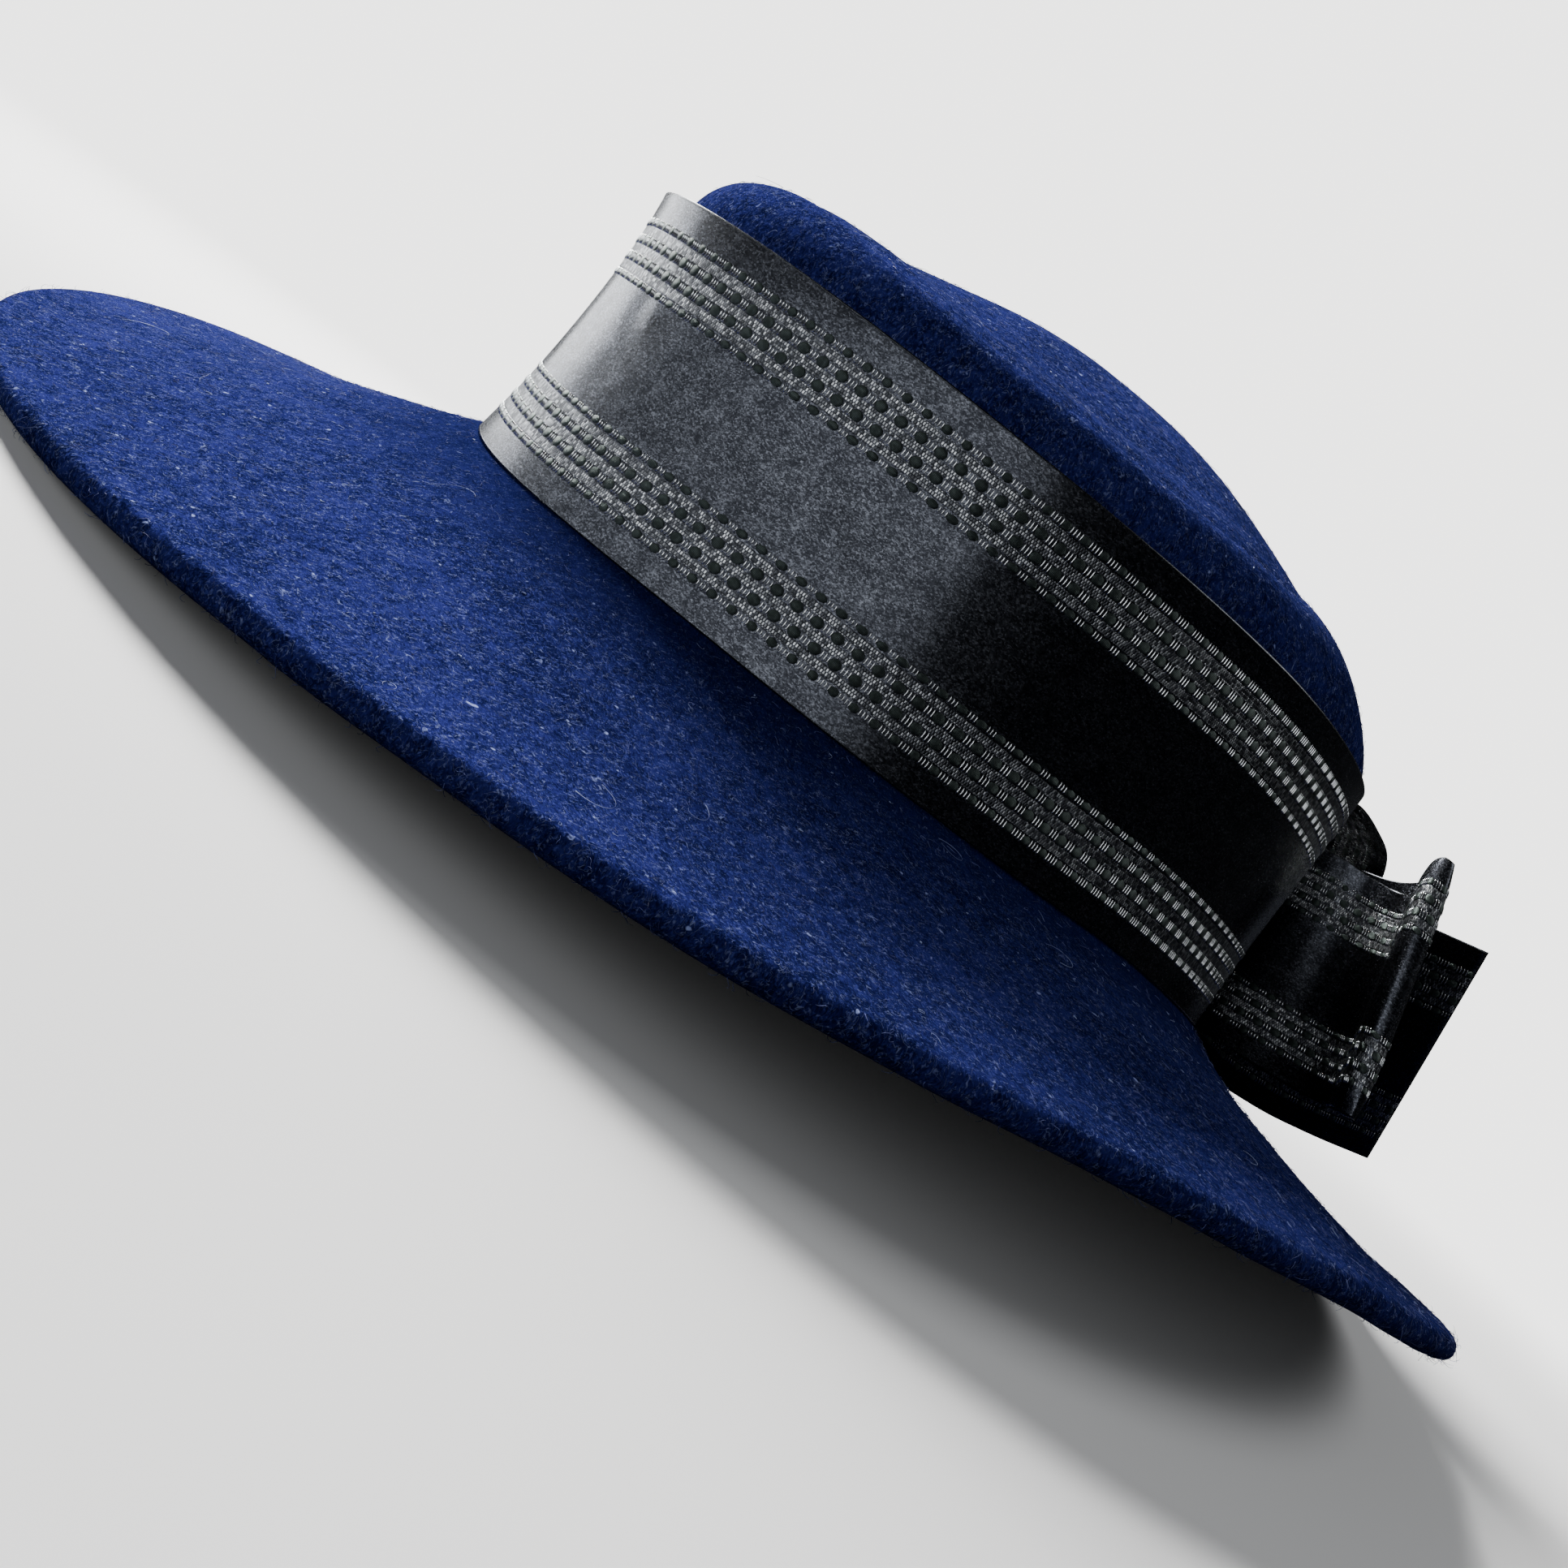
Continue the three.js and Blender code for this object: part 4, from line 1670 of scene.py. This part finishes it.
@dataclass(frozen=True)
class Lamp:
    """A soft rectangular light, in metres and watts.

    One that is sheen_only shows in shiny surfaces alone.
    """

    name: str
    at: Point
    to: Point
    size: tuple[float, float]
    power: float
    colour: Colour
    sheen_only: bool = False

    def build(self) -> None:
        """Puts the light in the scene."""
        data = bpy.data.lights.new(self.name, "AREA")
        data.shape = "RECTANGLE"
        data.size, data.size_y = self.size
        data.energy = self.power
        data.color = self.colour
        lamp = new_object(self.name, data)
        facing = (Vector(self.to) - Vector(self.at)).to_track_quat("-Z", "Y")
        lamp.matrix_world = Matrix.Translation(self.at) @ facing.to_matrix().to_4x4()
        lamp.visible_diffuse = not self.sheen_only


@dataclass(frozen=True)
class Studio:
    """A pale floor, soft lights and the camera; angles are in degrees."""

    pale: Colour = (3.20, 3.18, 3.15)
    floor_seen: Colour = (0.92, 0.91, 0.90)
    floor_cast: Colour = (0.055, 0.055, 0.06)
    floor_radius: float = 12.0
    fade_about: Point = (0.12, -0.03, 0)
    fade: tuple[float, float] = (0.27, 0.52)
    room_cast: Colour = (0.85, 0.9, 1.0)
    room_strength: float = 0.025
    lens: float = 36.0
    sensor: float = 36.0
    sight: tuple[float, float] = (0.005, 50)
    camera_at: Point = (269.0, -197.0, 60.4)
    down: float = 8.18
    yaw: float = 54.66
    roll: float = 39.56
    lamps: tuple[Lamp, ...] = (
        Lamp("window", (-0.63, -0.13, 0.54), (0, -0.06, 0.06), (0.44, 0.44), 31.5, (1.0, 1.0, 1.0)),
        Lamp("card", (-0.90, -0.42, 0.20), (0, 0, 0.06), (0.6, 0.36), 5.0, (0.96, 0.98, 1.0), True),
        Lamp("panel", (0.20, -0.74, 0.25), (0.05, 0, 0.25), (2.45, 0.34), 5.0, (0.94, 0.97, 1.0)),
        Lamp("back", (0.25, 0.68, 0.95), (0, 0, 0.09), (0.6, 0.6), 4.0, (0.96, 0.98, 1.0)),
    )

    def camera(self) -> None:
        """Sets the camera, which is rolled as a hand-held one."""
        data = bpy.data.cameras.new("camera")
        data.lens, data.sensor_width = self.lens, self.sensor
        data.clip_start, data.clip_end = self.sight
        camera = new_object("camera", data)
        camera.matrix_world = (
            Matrix.Translation(Vector(to_frame(np.array(self.camera_at))))
            @ Matrix.Rotation(math.radians(self.yaw), 4, "Z")
            @ Matrix.Rotation(math.radians(90 - self.down), 4, "X")
            @ Matrix.Rotation(math.radians(self.roll), 4, "Z")
        )
        bpy.context.scene.camera = camera

    def floor(self) -> None:
        """Lays a round pale floor that melts into the background."""
        shape = bmesh.new()
        bmesh.ops.create_circle(shape, cap_ends=True, segments=128, radius=self.floor_radius)
        mesh = bpy.data.meshes.new("floor")
        shape.to_mesh(mesh)
        shape.free()
        paint = Paint("floor")
        at = paint.add("ShaderNodeTexCoord", None, None, "Object")
        far = paint.add(
            "ShaderNodeVectorMath", {"operation": "DISTANCE"}, {0: at, 1: self.fade_about}, "Value"
        )
        seen = paint.add("ShaderNodeLightPath", None, None, "Is Camera Ray")
        shade = paint.blend(seen, self.floor_cast, self.floor_seen)
        near = paint.add("ShaderNodeBsdfDiffuse", None, {"Color": shade})
        glow = paint.add("ShaderNodeEmission", None, {"Color": (*self.pale, 1), "Strength": seen})
        mixed = paint.add("ShaderNodeMixShader", None, {0: far.rise(*self.fade), 1: near, 2: glow})
        mesh.materials.append(paint.close(mixed))
        new_object("floor", mesh)

    def world(self) -> None:
        """Gives the room its pale colour for the eye and a dimmer one for the light it casts."""
        room = Paint("room", world=True)
        path = room.add("ShaderNodeLightPath", None, None, "Is Camera Ray")
        seen = room.add("ShaderNodeBackground", None, {"Color": (*self.pale, 1)})
        cast = room.add(
            "ShaderNodeBackground", None,
            {"Color": (*self.room_cast, 1), "Strength": self.room_strength},
        )
        mixed = room.add("ShaderNodeMixShader", None, {0: path, 1: cast, 2: seen})
        bpy.context.scene.world = room.close(mixed)

    def build(self) -> None:
        """Sets up the whole studio."""
        self.camera()
        self.floor()
        self.world()
        for lamp in self.lamps:
            lamp.build()


# ------------------------------------------------------------------ the hat


def main() -> None:
    """Builds the hat piece by piece."""
    logging.basicConfig(level=logging.INFO, format="%(message)s")
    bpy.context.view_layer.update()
    Studio().build()
    form = HatForm()
    felt = FeltBody(form).build(BrushedFelt(form).make())
    blue = LooseFibre("nap_fibre", (0.010, 0.012, 0.060), (0.150, 0.180, 0.440)).make()
    pale = LooseFibre("lint_fibre", (0.070, 0.090, 0.270), (0.32, 0.39, 0.64)).make()
    nap = FeltNap(form, felt)
    for kind in (
        Fibres("felt_nap", 6100, (0.8, 2.4), 0.10, 0.30, 0.30, blue),
        Fibres("felt_edge_nap", 2600, (0.7, 2.2), 0.09, 0.2, 0.9, blue, rim_only=True),
        Fibres("felt_lint", 640, (0.8, 2.8), 0.10, 0.55, 0.20, pale),
        Fibres("felt_specks", 190, (0.35, 0.8), 0.28, 0.1, 0.05, pale),
        Fibres("felt_hairs", 46, (5.0, 12.0), 0.11, 0.55, 0.12, pale, joints=14),
    ):
        nap.build(kind)
    stripes = Stripes()
    finishes = RibbonFinishes(SatinRibbon(stripes).make(), FloatThread().make(), PadThread().make())
    band = RibbonPiece(
        "band_ribbon", BandCourse(form), stripes, ("hat_band",), Held.STRETCHED, ("felt_body",), step=1.6
    )
    band.build(finishes)
    Bow(stripes).build(finishes)


if __name__ == "__main__":
    main()
